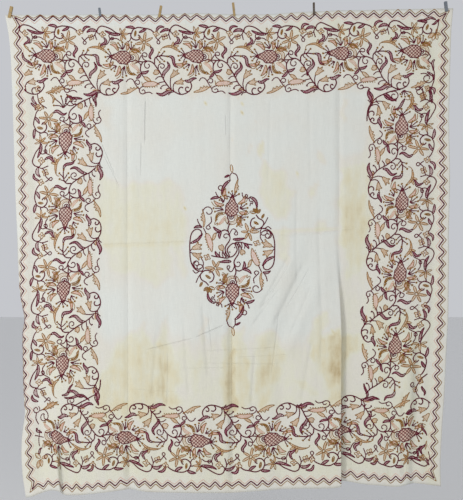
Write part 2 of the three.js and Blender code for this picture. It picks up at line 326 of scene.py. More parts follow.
columns = cloth_columns()
rows = np.linspace(0, CLOTH_LENGTH, ROWS_OF_POINTS)
grid_down, grid_across = np.meshgrid(rows, columns, indexing="ij")
place, _, _, face = lie(grid_across.ravel(), grid_down.ravel())
half = CLOTH_THICKNESS / 2
vertices = np.concatenate([place + face * half, place - face * half])
wide, tall = len(columns), len(rows)
index = np.arange(wide * tall).reshape(tall, wide)
upper, lower = index[:-1, :-1].ravel(), index[1:, :-1].ravel()
front = np.stack([upper, lower, lower + 1, upper + 1], axis=1)
back = front[:, [0, 3, 2, 1]] + wide * tall
rim = np.concatenate([index[0, :-1], index[:-1, -1], index[-1, :0:-1], index[:0:-1, 0]])
rim_next = np.roll(rim, -1)
edge = np.stack([rim, rim_next, rim_next + wide * tall, rim + wide * tall], axis=1)
flat_uv = np.stack([grid_across.ravel(), CLOTH_LENGTH - grid_down.ravel()], axis=1) * MM
cloth = make_mesh(
    "cotton_cloth",
    vertices,
    np.concatenate([front, back, edge]),
    uv=np.concatenate([flat_uv, flat_uv]),
)

# Old water stains: outlines in across and down, each fading over its softness. Crisp ones keep
# their outline, and the rest wander a little.
STAINS = table(
    "strength soft outline",
    (0.25, 36, [(470, 820), (560, 880), (600, 900), (735, 868), (830, 872), (905, 950),
     (910, 1180), (906, 1380), (880, 1372), (860, 1200), (842, 1200), (838, 1372), (800, 1396),
     (758, 1410), (715, 1390), (700, 1366), (655, 1368), (560, 1340), (520, 1330), (515, 1220),
     (455, 1180), (440, 960)]),
    (0.10, 90, [(460, 1000), (760, 980), (900, 1080), (890, 1190), (470, 1200)]),
    (0.36, 30, [(1330, 760), (1362, 800), (1425, 826), (1440, 930), (1490, 945), (1440, 1090),
     (1372, 1050), (1310, 945), (1300, 850)]),
    (0.34, 30, [(1408, 1130), (1462, 1150), (1455, 1290), (1428, 1330), (1402, 1260)]),
    (0.62, 14, [(1298, 690), (1322, 660), (1326, 720), (1306, 750), (1292, 726)]),
    (0.30, 16, [(1245, 700), (1256, 702), (1252, 745), (1242, 740)]),
    (0.26, 26, [(1590, 1100), (1640, 1094), (1650, 1130), (1610, 1160), (1585, 1140)]),
    (0.30, 20, [(1560, 900), (1596, 896), (1604, 950), (1576, 952)]),
    (0.26, 20, [(1614, 730), (1646, 744), (1650, 800), (1618, 792)]),
    (0.30, 18, [(1727, 820), (1850, 790), (1880, 920), (1870, 1280), (1830, 1350), (1764, 1400),
     (1752, 1340), (1764, 1230), (1730, 1220), (1724, 1140)]),
    (0.20, 80, [(1700, 1000), (1840, 980), (1860, 1200), (1720, 1220)]),
    (0.24, 26, [(1738, 450), (1756, 460), (1752, 560), (1736, 566)]),
    (0.16, 60, [(470, 450), (530, 470), (520, 580), (460, 570)]),
    (0.36, 40, [(506, 1820), (560, 1720), (608, 1685), (672, 1672), (690, 1600), (712, 1676),
     (760, 1730), (800, 1600), (815, 1640), (840, 1780), (880, 1880), (900, 1930), (868, 1950),
     (860, 2120), (400, 2140), (440, 1960)]),
    (0.28, 26, [(770, 1700), (800, 1690), (812, 1900), (790, 2040), (762, 1960)]),
    (0.36, 24, [(1112, 1680), (1148, 1618), (1180, 1660), (1216, 1622), (1220, 1740), (1236, 1880),
     (1250, 1980), (1222, 2070), (1100, 2100), (1104, 1980), (1098, 1840)]),
    (0.34, 16, [(1128, 1760), (1164, 1740), (1172, 2080), (1122, 2080)]),
    (0.22, 24, [(1000, 1580), (1022, 1590), (1018, 1710), (994, 1730)]),
    (0.24, 26, [(958, 1810), (990, 1800), (986, 1960), (954, 1970)]),
    (0.36, 32, [(1288, 1700), (1334, 1660), (1386, 1648), (1406, 1800), (1400, 1906), (1346, 1972),
     (1306, 2080), (1266, 2070), (1280, 1900), (1270, 1800)]),
    (0.24, 20, [(1300, 1800), (1336, 1780), (1340, 1940), (1306, 1960)]),
    (0.46, 26, [(1570, 1590), (1628, 1568), (1636, 1620), (1608, 1670), (1622, 1710), (1708, 1684),
     (1712, 2070), (1610, 2070), (1646, 1970), (1582, 1840), (1536, 1790), (1544, 1700),
     (1556, 1650)]),
    (0.45, 40, [(1640, 1690), (1708, 1680), (1712, 1980), (1670, 1960), (1636, 1820)]),
    (0.46, 24, [(1722, 1700), (1870, 1690), (1866, 1780), (1776, 1790), (1762, 1940), (1734, 2010),
     (1722, 2060)]),
    (0.22, 20, [(1480, 1930), (1580, 1950), (1586, 1990), (1490, 1990)]),
    (0.24, 14, [(470, 1190), (910, 1184), (910, 1204), (470, 1210)]),
    (0.28, 14, [(1360, 1136), (1720, 1130), (1720, 1150), (1360, 1156)]),
    (0.18, 160, [(0, 2240), (2300, 2200), (2300, 2500), (0, 2500)]),
    (0.14, 120, [(1480, 20), (2300, 0), (2300, 420), (2160, 600), (2060, 200), (1480, 130)]),
    (0.10, 60, [(0, 0), (90, 0), (80, 2500), (0, 2500)]),
    (0.16, 60, [(2220, 0), (2300, 0), (2300, 2500), (2210, 2500)]),
    (0.22, 120, [(1880, 1560), (2180, 1600), (2170, 2200), (1880, 2200)]),
    (0.10, 120, [(130, 1500), (440, 1560), (440, 2150), (130, 2150)]),
    (0.16, 50, [(60, 60), (2240, 60), (2240, 420), (60, 420)]),
    (0.14, 50, [(60, 420), (450, 420), (450, 2000), (60, 2000)]),
    (0.16, 50, [(1860, 420), (2240, 420), (2240, 2000), (1860, 2000)]),
    (0.14, 50, [(60, 2020), (2240, 2020), (2240, 2440), (60, 2440)]),
    (0.08, 140, [(460, 840), (930, 900), (900, 1400), (460, 1400)]),
    (0.26, 160, [(460, 1700), (1720, 1750), (1720, 2060), (460, 2060)]),
    (0.20, 60, [(1722, 760), (1860, 740), (1860, 2050), (1722, 2050)]),
)
# Small brown specks: where, and how wide.
SPECKS = table(
    "across down half",
    (915, 1014, 7),
    (1502, 850, 9),
    (1212, 516, 7),
    (1216, 470, 6),
    (1208, 460, 5),
    (1280, 556, 7),
    (1160, 662, 6),
    (1112, 664, 5),
    (1020, 466, 10),
    (1656, 1676, 5),
    (22, 370, 8),
    (1184, 430, 8),
)


def inside_depth(outline, across, down):
    """How deep points lie inside an outline, below zero outside it."""
    corner = np.array(outline, float)
    following = np.roll(corner, -1, axis=0)
    nearest = np.full(len(across), 1e9)
    crossings = np.zeros(len(across), int)
    for (x0, y0), (x1, y1) in zip(corner, following):
        run = np.array([x1 - x0, y1 - y0])
        t = np.clip(((across - x0) * run[0] + (down - y0) * run[1]) / (run @ run), 0, 1)
        nearest = np.minimum(nearest, np.hypot(across - x0 - t * run[0], down - y0 - t * run[1]))
        between = (y0 > down) != (y1 > down)
        crossings += between & (across < x0 + (down - y0) * run[0] / (run[1] if run[1] else 1e9))
    return np.where(crossings % 2 == 1, nearest, -nearest)


flat_across, flat_down = grid_across.ravel(), grid_down.ravel()
wander_across = flat_across + 9 * np.sin(flat_down / 37)
wander_across = wander_across + 6 * np.sin(flat_down / 15 + flat_across / 60)
wander_down = flat_down + 12 * np.sin(flat_across / 33 + 1) + 8 * np.sin(flat_across / 14)
CRISP = 15
STAIN_SHARE, SPECK_SHARE = 0.66, 0.8
stain = np.zeros(len(flat_across))
for patch in STAINS:
    where = (flat_across, flat_down) if patch["soft"] < CRISP else (wander_across, wander_down)
    depth = inside_depth(patch["outline"], *where)
    stain = stain + STAIN_SHARE * patch["strength"] * eased(0.5 + depth / patch["soft"])
for speck in SPECKS:
    distance = np.hypot(flat_across - speck["across"], flat_down - speck["down"])
    stain = stain + SPECK_SHARE * eased(1.3 - distance / speck["half"])
layer = cloth.data.attributes.new("stain", "FLOAT", "POINT")
layer.data.foreach_set("value", np.tile(stain, 2).astype(np.float32))

# Sharp creases from folding away, and small pulled lines: each from one flat point to another.
CREASES = table(
    "start end half depth",
    ((607, 420), (612, 2480), 2.4, 0.9),
    ((1150, 60), (1150, 900), 2.6, 0.8),
    ((1152, 1560), (1152, 2490), 2.6, 1.3),
    ((1718, 30), (1718, 1200), 2.4, 0.8),
    ((440, 1196), (1010, 1186), 2.4, 0.9),
    ((1010, 1186), (1880, 1142), 2.4, 0.7),
    ((1380, 1172), (1720, 1160), 2.4, 0.7),
    ((706, 430), (702, 680), 3.2, 2.2),
    ((684, 655), (680, 850), 3.0, 1.6),
    ((1126, 520), (1130, 640), 2.8, 1.5),
    ((470, 655), (560, 870), 2.6, 1.5),
    ((450, 660), (575, 905), 2.6, 1.2),
    ((1118, 1622), (960, 1690), 2.8, 2.0),
    ((960, 1690), (700, 1752), 2.8, 1.7),
    ((985, 1760), (1420, 1748), 3.0, 1.1),
    ((1000, 1822), (1400, 1838), 3.0, 1.1),
    ((880, 1852), (1130, 1846), 3.0, 1.0),
    ((1160, 1796), (1440, 1790), 2.8, 0.9),
    ((1340, 1480), (1462, 1300), 4.0, 1.6),
    ((1300, 1540), (1400, 1420), 4.0, 1.2),
    ((1420, 1560), (1560, 1340), 4.0, 1.2),
    ((1030, 1560), (1050, 1760), 3.6, 1.2),
    ((820, 1760), (815, 2060), 4.0, 1.4),
    ((640, 1960), (900, 1976), 3.0, 0.8),
    ((1392, 1560), (1350, 1900), 4.0, 1.3),
    ((180, 560), (196, 1500), 3.0, 0.9),
    ((2150, 700), (2146, 1700), 3.0, 1.0),
    ((1290, 1560), (1470, 1250), 12.0, 3.2),
    ((1360, 1640), (1540, 1300), 14.0, 3.4),
    ((1250, 1640), (1400, 1440), 9.0, 2.4),
    ((1440, 1700), (1570, 1420), 11.0, 2.4),
    ((1500, 900), (1490, 1500), 10.0, 1.8),
    ((1620, 1000), (1600, 1900), 13.0, 2.6),
    ((1000, 1500), (1030, 1900), 12.0, 2.4),
    ((900, 1560), (930, 2000), 11.0, 2.0),
    ((1270, 1760), (1250, 2060), 10.0, 2.2),
    ((760, 1660), (740, 2020), 10.0, 1.8),
    ((1560, 1700), (1500, 2060), 12.0, 2.4),
    ((1360, 420), (1350, 900), 9.0, 1.2),
    ((1560, 420), (1570, 900), 10.0, 1.3),
    ((2076, 1980), (2090, 2490), 20.0, 6.0),
    ((1990, 2150), (2010, 2490), 14.0, 2.6),
    ((1800, 2050), (1806, 2490), 14.0, 2.4),
    ((2170, 1750), (2160, 2300), 16.0, 2.6),
    ((250, 2050), (262, 2490), 13.0, 2.4),
)


def add(tree, kind, inputs=(), **settings):
    """Adds a shader node, sets its properties, and feeds or sets its inputs by name or number."""
    node = tree.nodes.new(f"ShaderNode{kind}")
    for key, value in settings.items():
        setattr(node, key, value)
    for key, value in dict(inputs).items():
        if isinstance(value, bpy.types.NodeSocket):
            tree.links.new(value, node.inputs[key])
        else:
            node.inputs[key].default_value = value
    return node


def maths(tree, operation, first, second=0.0):
    return add(tree, "Math", {0: first, 1: second}, operation=operation).outputs[0]


def plus(tree, first, second):
    return maths(tree, "ADD", first, second)


def times(tree, first, second):
    return maths(tree, "MULTIPLY", first, second)


def vector_maths(tree, operation, first, second, output=0):
    inputs = {0: first, 1: second}
    return add(tree, "VectorMath", inputs, operation=operation).outputs[output]


def scaled(tree, vector, by):
    inputs = {0: vector, "Scale": by}
    return add(tree, "VectorMath", inputs, operation="SCALE").outputs[0]


def noise(tree, place, scale, detail):
    """A soft random pattern. scale is one number, or one for each direction."""
    if isinstance(scale, tuple):
        place = add(tree, "Mapping", {"Vector": place, "Scale": scale}).outputs[0]
        scale = 1.0
    inputs = {"Vector": place, "Scale": scale, "Detail": detail}
    return add(tree, "TexNoise", inputs).outputs["Fac"]


def colour_ramp(tree, amount, tones):
    """Blends from tone to tone. tones holds each one by the amount it stands at."""
    ramp = add(tree, "ValToRGB", {"Fac": amount})
    stops, places = ramp.color_ramp.elements, sorted(tones)
    for place in places[1:-1]:
        stops.new(place)
    for stop, place in zip(stops, places):
        stop.position = place
        stop.color = (*tones[place], 1)
    return ramp.outputs["Color"]


def new_material(name, roughness, specular=0.5, metallic=0.0):
    """A material with its shader's plain values set."""
    material = bpy.data.materials.new(name)
    material.use_nodes = True
    given = material.node_tree.nodes["Principled BSDF"].inputs
    given["Roughness"].default_value = roughness
    given["Specular IOR Level"].default_value = specular
    given["Metallic"].default_value = metallic
    return material


def finish_surface(tree, colour, height, distance=1.0, strength=1.0):
    """Feeds a material's shader with its colour and its bump."""
    given = tree.nodes["Principled BSDF"].inputs
    bump = add(tree, "Bump", {"Height": height, "Distance": distance, "Strength": strength})
    tree.links.new(colour, given["Base Color"])
    tree.links.new(bump.outputs[0], given["Normal"])


def crease_group():
    """Height of a line pressed into the cloth, from one flat point to another."""
    tree = bpy.data.node_groups.new("pressed_line", "ShaderNodeTree")
    wanted = dict(Flat="Vector", Start="Vector", End="Vector", Half="Float", Depth="Float")
    for name, kind in wanted.items():
        tree.interface.new_socket(name, in_out="INPUT", socket_type=f"NodeSocket{kind}")
    tree.interface.new_socket("Height", in_out="OUTPUT", socket_type="NodeSocketFloat")
    given = tree.nodes.new("NodeGroupInput").outputs
    result = tree.nodes.new("NodeGroupOutput").inputs

    run = vector_maths(tree, "SUBTRACT", given["End"], given["Start"])
    gone = vector_maths(tree, "SUBTRACT", given["Flat"], given["Start"])
    along = vector_maths(tree, "DOT_PRODUCT", gone, run, "Value")
    part = maths(tree, "DIVIDE", along, vector_maths(tree, "DOT_PRODUCT", run, run, "Value"))
    away = vector_maths(tree, "DISTANCE", gone, scaled(tree, run, part), "Value")
    ratio = maths(tree, "DIVIDE", away, given["Half"])
    below = times(tree, times(tree, ratio, ratio), -1.0)
    hollow = maths(tree, "POWER", math.e, below)
    # It fades out over the eighth of its length nearest to each end.
    end_fade = 9.0
    ends = times(tree, part, maths(tree, "SUBTRACT", 1.0, part))
    fade = maths(tree, "MAXIMUM", times(tree, ends, end_fade), 0.0)
    fade = maths(tree, "MINIMUM", fade, 1.0)
    pressed = times(tree, times(tree, hollow, fade), given["Depth"])
    tree.links.new(times(tree, pressed, -1.0), result["Height"])
    return tree


# Clean cloth, the duller ground of the bands, then ever deeper stains.
CLOTH_TONES = {
    0.0: (0.662, 0.675, 0.63),
    0.11: (0.668, 0.645, 0.575),
    0.25: (0.667, 0.656, 0.54),
    0.5: (0.65, 0.605, 0.44),
    0.8: (0.55, 0.47, 0.30),
    1.0: (0.42, 0.32, 0.17),
}
STREAK_SHARE, BLOT_SHARE = 1.1, 1.5
YELLOWED_FROM, YELLOWED_SHARE = 0.42, 0.22
THREAD_SHADE = 0.16
THREAD_HEIGHT = 0.00035
LONG_PUCKER_HEIGHT, PUCKER_HEIGHT = 0.0036, 0.0012
CREASE_GAIN = 1.4

cotton = new_material("cotton", roughness=0.92, specular=0.12)
tree = cotton.node_tree
flat = add(tree, "UVMap").outputs[0]

# The stains soaked in unevenly, in streaks and blots, and the whole cloth has yellowed in places.
stained = add(tree, "Attribute", attribute_name="stain").outputs["Fac"]
streaks = maths(tree, "SUBTRACT", noise(tree, flat, (38, 7, 1), 4.0), 0.5)
blots = maths(tree, "SUBTRACT", noise(tree, flat, (16, 12, 1), 6.0), 0.5)
uneven = plus(tree, times(tree, streaks, STREAK_SHARE), times(tree, blots, BLOT_SHARE))
soaked = times(tree, stained, plus(tree, uneven, 1.0))
yellowed = plus(tree, noise(tree, flat, (5, 4, 1), 5.0), -YELLOWED_FROM)
yellowed = maths(tree, "MAXIMUM", times(tree, yellowed, YELLOWED_SHARE), 0.0)
soaked = plus(tree, soaked, yellowed)

# The plain weave: slubs down the cloth and across it, each a little darker or paler.
thread_down = noise(tree, flat, (900, 25, 1), 2.0)
thread_across = noise(tree, flat, (25, 900, 1), 2.0)
threads = plus(tree, thread_down, thread_across)
tone = plus(tree, times(tree, threads, THREAD_SHADE), 1 - THREAD_SHADE)
colour = scaled(tree, colour_ramp(tree, soaked, CLOTH_TONES), tone)

# The threads stand up a little, the cloth is puckered, and each pressed line is a groove.
height = times(tree, threads, THREAD_HEIGHT)
long_puckers = times(tree, noise(tree, flat, (26, 2.6, 1), 3.0), LONG_PUCKER_HEIGHT)
puckers = times(tree, noise(tree, flat, (34, 30, 1), 4.0), PUCKER_HEIGHT)
height = plus(tree, height, plus(tree, long_puckers, puckers))
group = crease_group()
for crease in CREASES:
    start, end = crease["start"], crease["end"]
    inputs = {
        "Flat": flat,
        "Start": (start[0] * MM, (CLOTH_LENGTH - start[1]) * MM, 0),
        "End": (end[0] * MM, (CLOTH_LENGTH - end[1]) * MM, 0),
        "Half": crease["half"] * MM,
        "Depth": CREASE_GAIN * crease["depth"] * MM,
    }
    pressed = add(tree, "Group", inputs, node_tree=group)
    height = plus(tree, height, pressed.outputs["Height"])
finish_surface(tree, colour, height)
cloth.data.materials.append(cotton)
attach(cloth, "root")
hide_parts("cloth")


# THE WOOL
# Two-ply wool worked in chain stitch by hand, each row a raised line of links about 5 mm long. A
# filled shape is rows of the same stitch side by side inside its outline.

# half and height are a row's size, link is how long its links are drawn, and step is how far apart
# the rings of its mesh are. pinch is how narrow every other ring is.
YARNS = {
    "vine": dict(half=4.6, height=2.4, link=5.2, step=3.6, pinch=0.74),
    "plum": dict(half=3.9, height=2.0, link=4.6, step=5.2, pinch=0.76),
    "net": dict(half=2.4, height=1.9, link=4.2, step=8.0, pinch=1.0),
    "mauve": dict(half=2.1, height=1.1, link=6.5, step=8.0, pinch=1.0),
    "gold": dict(half=3.0, height=1.7, link=4.8, step=5.0, pinch=0.78),
    "peach": dict(half=2.3, height=1.0, link=6.5, step=8.0, pinch=1.0),
    "ochre": dict(half=2.7, height=2.2, link=6.0, step=3.6, pinch=0.85),
    "pink": dict(half=2.0, height=1.0, link=4.8, step=6.5, pinch=1.0),
}
REVERSE = dict(half=1.4, height=0.7, link=5.0, pinch=1.0)
STITCH_SUNK = 0.5


# Designs are drawn flat, with a point as one complex number: across + down * 1j.
def smooth_line(points, closed=False):
    """Even steps along a smooth curve through the given points."""
    points = np.array(points, complex)
    if closed:
        before, after = points[-1:], points[:2]
    else:
        before, after = 2 * points[:1] - points[1:2], 2 * points[-1:] - points[-2:-1]
    around = np.concatenate([before, points, after])
    pieces = []
    t = np.linspace(0, 1, 12, endpoint=False)
    for before, start, end, after in zip(around, around[1:], around[2:], around[3:]):
        curve = 2 * start + (end - before) * t
        curve = curve + (2 * before - 5 * start + 4 * end - after) * t**2
        pieces.append(0.5 * (curve + (3 * start - before - 3 * end + after) * t**3))
    line = np.concatenate(pieces + [around[-2:-1]])
    return even_steps(line)


def even_steps(line, spacing=3.0):
    """The same line with its points at even steps."""
    run = np.concatenate([[0], np.cumsum(np.abs(np.diff(line)))])
    count = max(int(round(run[-1] / spacing)), 1)
    at = np.linspace(0, run[-1], count + 1)
    return np.interp(at, run, line.real) + 1j * np.interp(at, run, line.imag)


def fitted(root, tip, shape):
    """A shape drawn along 0 to 1 laid between two points."""
    return root + (tip - root) * np.array(shape, complex)


FILL_STEP = 3.25
SHORTEST_ROW = 3


def fill_rows(yarn, outline, direction, pitch=4.6, inset=2.2):
    """Rows of stitches side by side inside an outline, running along a direction."""
    direction = direction / abs(direction)
    turned = outline / direction
    strokes = []
    low, high = turned.imag.min() + inset, turned.imag.max() - inset
    count = int((high - low) // pitch) + 1 if high > low else 0
    loop = np.append(turned, turned[0])
    for level in (low + high) / 2 + (np.arange(count) - (count - 1) / 2) * pitch:
        cross = np.nonzero((loop.imag[:-1] - level) * (loop.imag[1:] - level) < 0)[0]
        step = (level - loop.imag[cross]) / (loop.imag[cross + 1] - loop.imag[cross])
        hits = np.sort(loop.real[cross] + step * (loop.real[cross + 1] - loop.real[cross]))
        for start, end in zip(hits[::2], hits[1::2]):
            if end - start > 2 * inset + SHORTEST_ROW:
                row = np.array([start + inset, end - inset]) + 1j * level
                strokes.append((yarn, even_steps(row, FILL_STEP) * direction))
    return strokes


def outlined(fill, outline, direction):
    """A gold outline filled with rows of stitches."""
    return [("gold", np.append(outline, outline[0]))] + fill_rows(fill, outline, direction)


def blade(root, tip, bend=0.0, sway=0.0, half=7.0, line="plum", fill="mauve"):
    """A plume leaf: an arched outline that swells and narrows, with rows of stitches inside."""
    row_pitch, outline_room = 4.0, 5
    t = np.linspace(0, 1, 20)
    run = tip - root
    arch = bend * np.sin(math.pi * t) + sway * np.sin(2 * math.pi * t)
    middle = root + run * t + 1j * run * arch
    ahead = np.gradient(middle)
    side = 1j * ahead / np.abs(ahead)
    swell = half * np.sin(math.pi * t**0.8) ** 0.75
    strokes = [(line, even_steps(middle + side * swell)), (line, even_steps(middle - side * swell))]
    rows = max(int(round((2 * half - outline_room) / row_pitch)), 1)
    inside = slice(3, 17)
    for level in np.arange(rows) - (rows - 1) / 2:
        row = middle + side * swell * level * row_pitch / half
        strokes.append((fill, even_steps(row[inside], FILL_STEP)))
    return strokes


def spiral(start, centre, turns, end=0.3, yarn="plum"):
    """A tendril that winds in from its start round its centre."""
    t = np.linspace(0, 1, int(abs(turns) * 26) + 6)
    arm = (start - centre) * np.exp(2j * math.pi * turns * t) * (1 - (1 - end) * t)
    return [(yarn, even_steps(centre + arm))]


def vine(points, yarn="vine"):
    """One row of stitches along a smooth curve."""
    return [(yarn, smooth_line(points))]


def knot(centre, radius=4.8, yarn="ochre"):
    """A small round knob of a turn and a half of stitches."""
    t = np.linspace(0, 1, 24)
    coil = radius * np.exp(3j * math.pi * t) * (1 - 0.8 * t)
    return [(yarn, even_steps(centre + coil, 2.0))]


def sprig(root, tips, dot="ochre"):
    """Stalks that fan out from one root, each ending just short of the knob at its tip."""
    knob_gap = 7
    strokes = []
    for tip in tips:
        end = tip - knob_gap * (tip - root) / abs(tip - root)
        strokes += vine([root, (root + end) / 2 + 0.06j * (tip - root), end], "plum")
        strokes += knot(tip, yarn=dot)
    return strokes


# Outlines of small flowers and leaves, from 0 at the root to about 1 at the tip.
TULIP = [0, 0.22 - 0.15j, 0.52 - 0.21j, 0.8 - 0.4j, 0.74 - 0.14j, 1.08 - 0.02j, 0.76 + 0.1j,
         0.88 + 0.36j, 0.52 + 0.21j, 0.22 + 0.15j]
HEART = [0, 0.35 - 0.38j, 0.8 - 0.42j, 1.0 - 0.2j, 0.84, 1.0 + 0.2j, 0.8 + 0.42j, 0.35 + 0.38j]
POD = [0, 0.3 - 0.16j, 0.7 - 0.14j, 1.0, 0.7 + 0.14j, 0.3 + 0.16j]
CREST = [0, 0.2 + 0.07j, 0.45 + 0.09j, 0.75 + 0.03j, 1.1 - 0.1j, 0.86 - 0.06j, 0.82 - 0.16j,
         0.72 - 0.07j, 0.62 - 0.2j, 0.54 - 0.06j, 0.44 - 0.17j, 0.36 - 0.04j, 0.18 - 0.02j]
COMB = [0, 0.1 - 0.15j, 0.35 - 0.22j, 0.7 - 0.2j, 1.04 - 0.04j, 0.86, 0.7 + 0.05j, 0.5 + 0.03j,
        0.3 + 0.06j, 0.12 + 0.04j]


def flower(shape, root, tip, fill="peach"):
    """A filled shape laid from its root to its tip."""
    outline = smooth_line(fitted(root, tip, shape), closed=True)[:-1]
    return outlined(fill, outline, tip - root)


def petals(centre, tips, half=0.17, fill="peach"):
    """Pointed petals that meet at a centre."""
    near, far = half * 1j, half * 0.8j
    petal = [0.1, 0.4 - near, 0.75 - far, 1.0, 0.75 + far, 0.4 + near]
    return [stroke for tip in tips for stroke in flower(petal, centre, centre + tip, fill)]


def antler(root, tip):
    """A slender golden horn that sways twice, with short prongs on its way."""
    lines = [
        [0, 0.2 + 0.07j, 0.42 - 0.06j, 0.62 - 0.14j, 0.82 - 0.06j, 1.0 + 0.1j],
        [0.3 - 0.06j, 0.5 - 0.18j, 0.7 - 0.2j, 0.9 - 0.08j],
        [0.2 + 0.06j, 0.24 - 0.1j, 0.2 - 0.26j],
        [0.38 - 0.1j, 0.36 - 0.24j, 0.44 - 0.34j],
        [0.36, 0.44 + 0.14j, 0.4 + 0.26j],
        [0.22 + 0.06j, 0.2 + 0.18j, 0.12 + 0.24j],
    ]
    strokes = [stroke for line in lines for stroke in vine(fitted(root, tip, line), "gold")]
    return strokes + vine(fitted(root, tip, [0.4 - 0.08j, 0.6 - 0.16j, 0.8 - 0.1j]), "peach")


def comb_leaf(root, tip):
    """A pink crescent leaf whose inner side is set with golden knobs."""
    strokes = flower(COMB, root, tip, fill="pink")
    for at in (0.16, 0.3, 0.44, 0.58, 0.72, 0.86):
        strokes += knot(root + (tip - root) * (at + 0.09j), 2.6, "gold")
    return strokes


def four_petal(centre, turn=0.4):
    """A small square flower of four blunt petals with a plum eye."""
    radius = 17.0
    angle = np.linspace(0, 2 * math.pi, 33)[:-1]
    reach = radius * (0.8 + 0.24 * np.cos(4 * angle))
    outline = centre + reach * np.exp(1j * (angle + turn))
    return outlined("peach", outline, np.exp(1j * turn)) + knot(centre, 2.4, "plum")


def pale_hook(root, tip, bend):
    """A pale petal that shows from behind the head, edged in gold along its back."""
    t = np.linspace(0, 1, 9)
    arch = (bend * 1.5 + math.copysign(0.16, bend)) * np.sin(math.pi * t * 0.86)
    back = root + (tip - root) * (t * 1.12 + 1j * arch)
    petal = blade(root, tip, bend=bend, half=8, line="gold", fill="pink")
    return petal + [("gold", even_steps(back))]


def pineapple():
    """The head, tip to the left: a netted body with its tuft, stamens, sepals and collar."""
    angle = np.linspace(0, 2 * math.pi, 41)[:-1]
    reach = np.where(np.cos(angle) < 0, 66.0, 36.0) * np.cos(angle)
    neck = 1 - 0.3 * np.exp(-(((reach + 50) / 16) ** 2))
    side = 32.5 * np.sin(angle) * (1 + 0.16 * np.cos(angle)) * neck
    scallop = 1 + 0.05 * np.cos(10 * angle)
    outline = (reach + 1j * side) * scallop + 4j * (reach / 60)
    strokes = [("plum", np.append(outline, outline[0]))]
    strokes += fill_rows("pink", outline, 1.0, pitch=4.4, inset=1.0)
    for lean in (math.radians(42), math.radians(-42)):
        strokes += fill_rows("net", outline, np.exp(1j * lean), pitch=12.6, inset=1.0)
    for level in (-9, 0, 9):
        low, high = complex(-60, level - 3), complex(-76, level * 0.4 - 5)
        strokes += vine([low, complex(-68, level * 0.8 - 4), high], "plum")
    strokes += sprig(-70 - 5j, [-93 - 26j, -99 - 4j, -93 + 16j])
    strokes += sprig(-66 - 6j, [-82 - 40j]) + sprig(-62 + 6j, [-76 + 34j], dot="gold")
    strokes += sprig(-6 - 40j, [-34 - 56j, -30 - 76j, -10 - 82j, 6 - 74j])
    strokes += sprig(36 - 40j, [22 - 66j, 42 - 82j, 56 - 64j])
    strokes += sprig(-36 + 42j, [-76 + 38j, -68 + 58j, -50 + 66j])
    strokes += sprig(4 + 44j, [-18 + 74j, -6 + 96j, 12 + 88j])
    # The collar: a golden half ring round a plum curl, with an ochre sepal on each side.
    strokes += vine([30 - 26j, 52 - 31j, 72 - 16j, 76 + 6j, 67 + 27j, 44 + 35j], "gold")
    strokes += vine([32 - 20j, 50 - 24j, 65 - 12j, 69 + 6j, 61 + 22j, 42 + 28j], "peach")
    strokes += vine([34 - 14j, 48 - 17j, 59 - 8j, 62 + 6j, 55 + 18j, 40 + 21j], "gold")
    strokes += vine([34 - 8j, 44 - 8j, 50 + 2j, 46 + 12j, 36 + 12j], "plum")
    strokes += knot(41 + 2j, 3.6, "plum")
    strokes += vine([32 + 20j, 44 + 22j, 58 + 16j, 74 + 22j])
    strokes += blade(28 - 26j, 90 - 20j, bend=-0.34, sway=-0.04, half=7, line="gold", fill="ochre")
    strokes += blade(20 + 32j, 58 + 88j, bend=0.26, half=7.5, line="gold", fill="ochre")
    strokes += vine([46 + 74j, 66 + 90j, 78 + 88j, 66 + 74j, 84 + 78j], "gold")
    strokes += blade(34 + 34j, 80 + 76j, bend=-0.12, half=7, line="peach", fill="pink")
    # Pale petals between the stamens.
    strokes += pale_hook(-30 - 34j, -74 - 66j, 0.2) + pale_hook(-54 + 22j, -112 + 34j, -0.2)
    strokes += pale_hook(-22 + 40j, -46 + 96j, -0.16) + pale_hook(16 - 36j, 10 - 84j, 0.14)
    strokes += pale_hook(46 - 30j, 84 - 56j, 0.16)
    return strokes


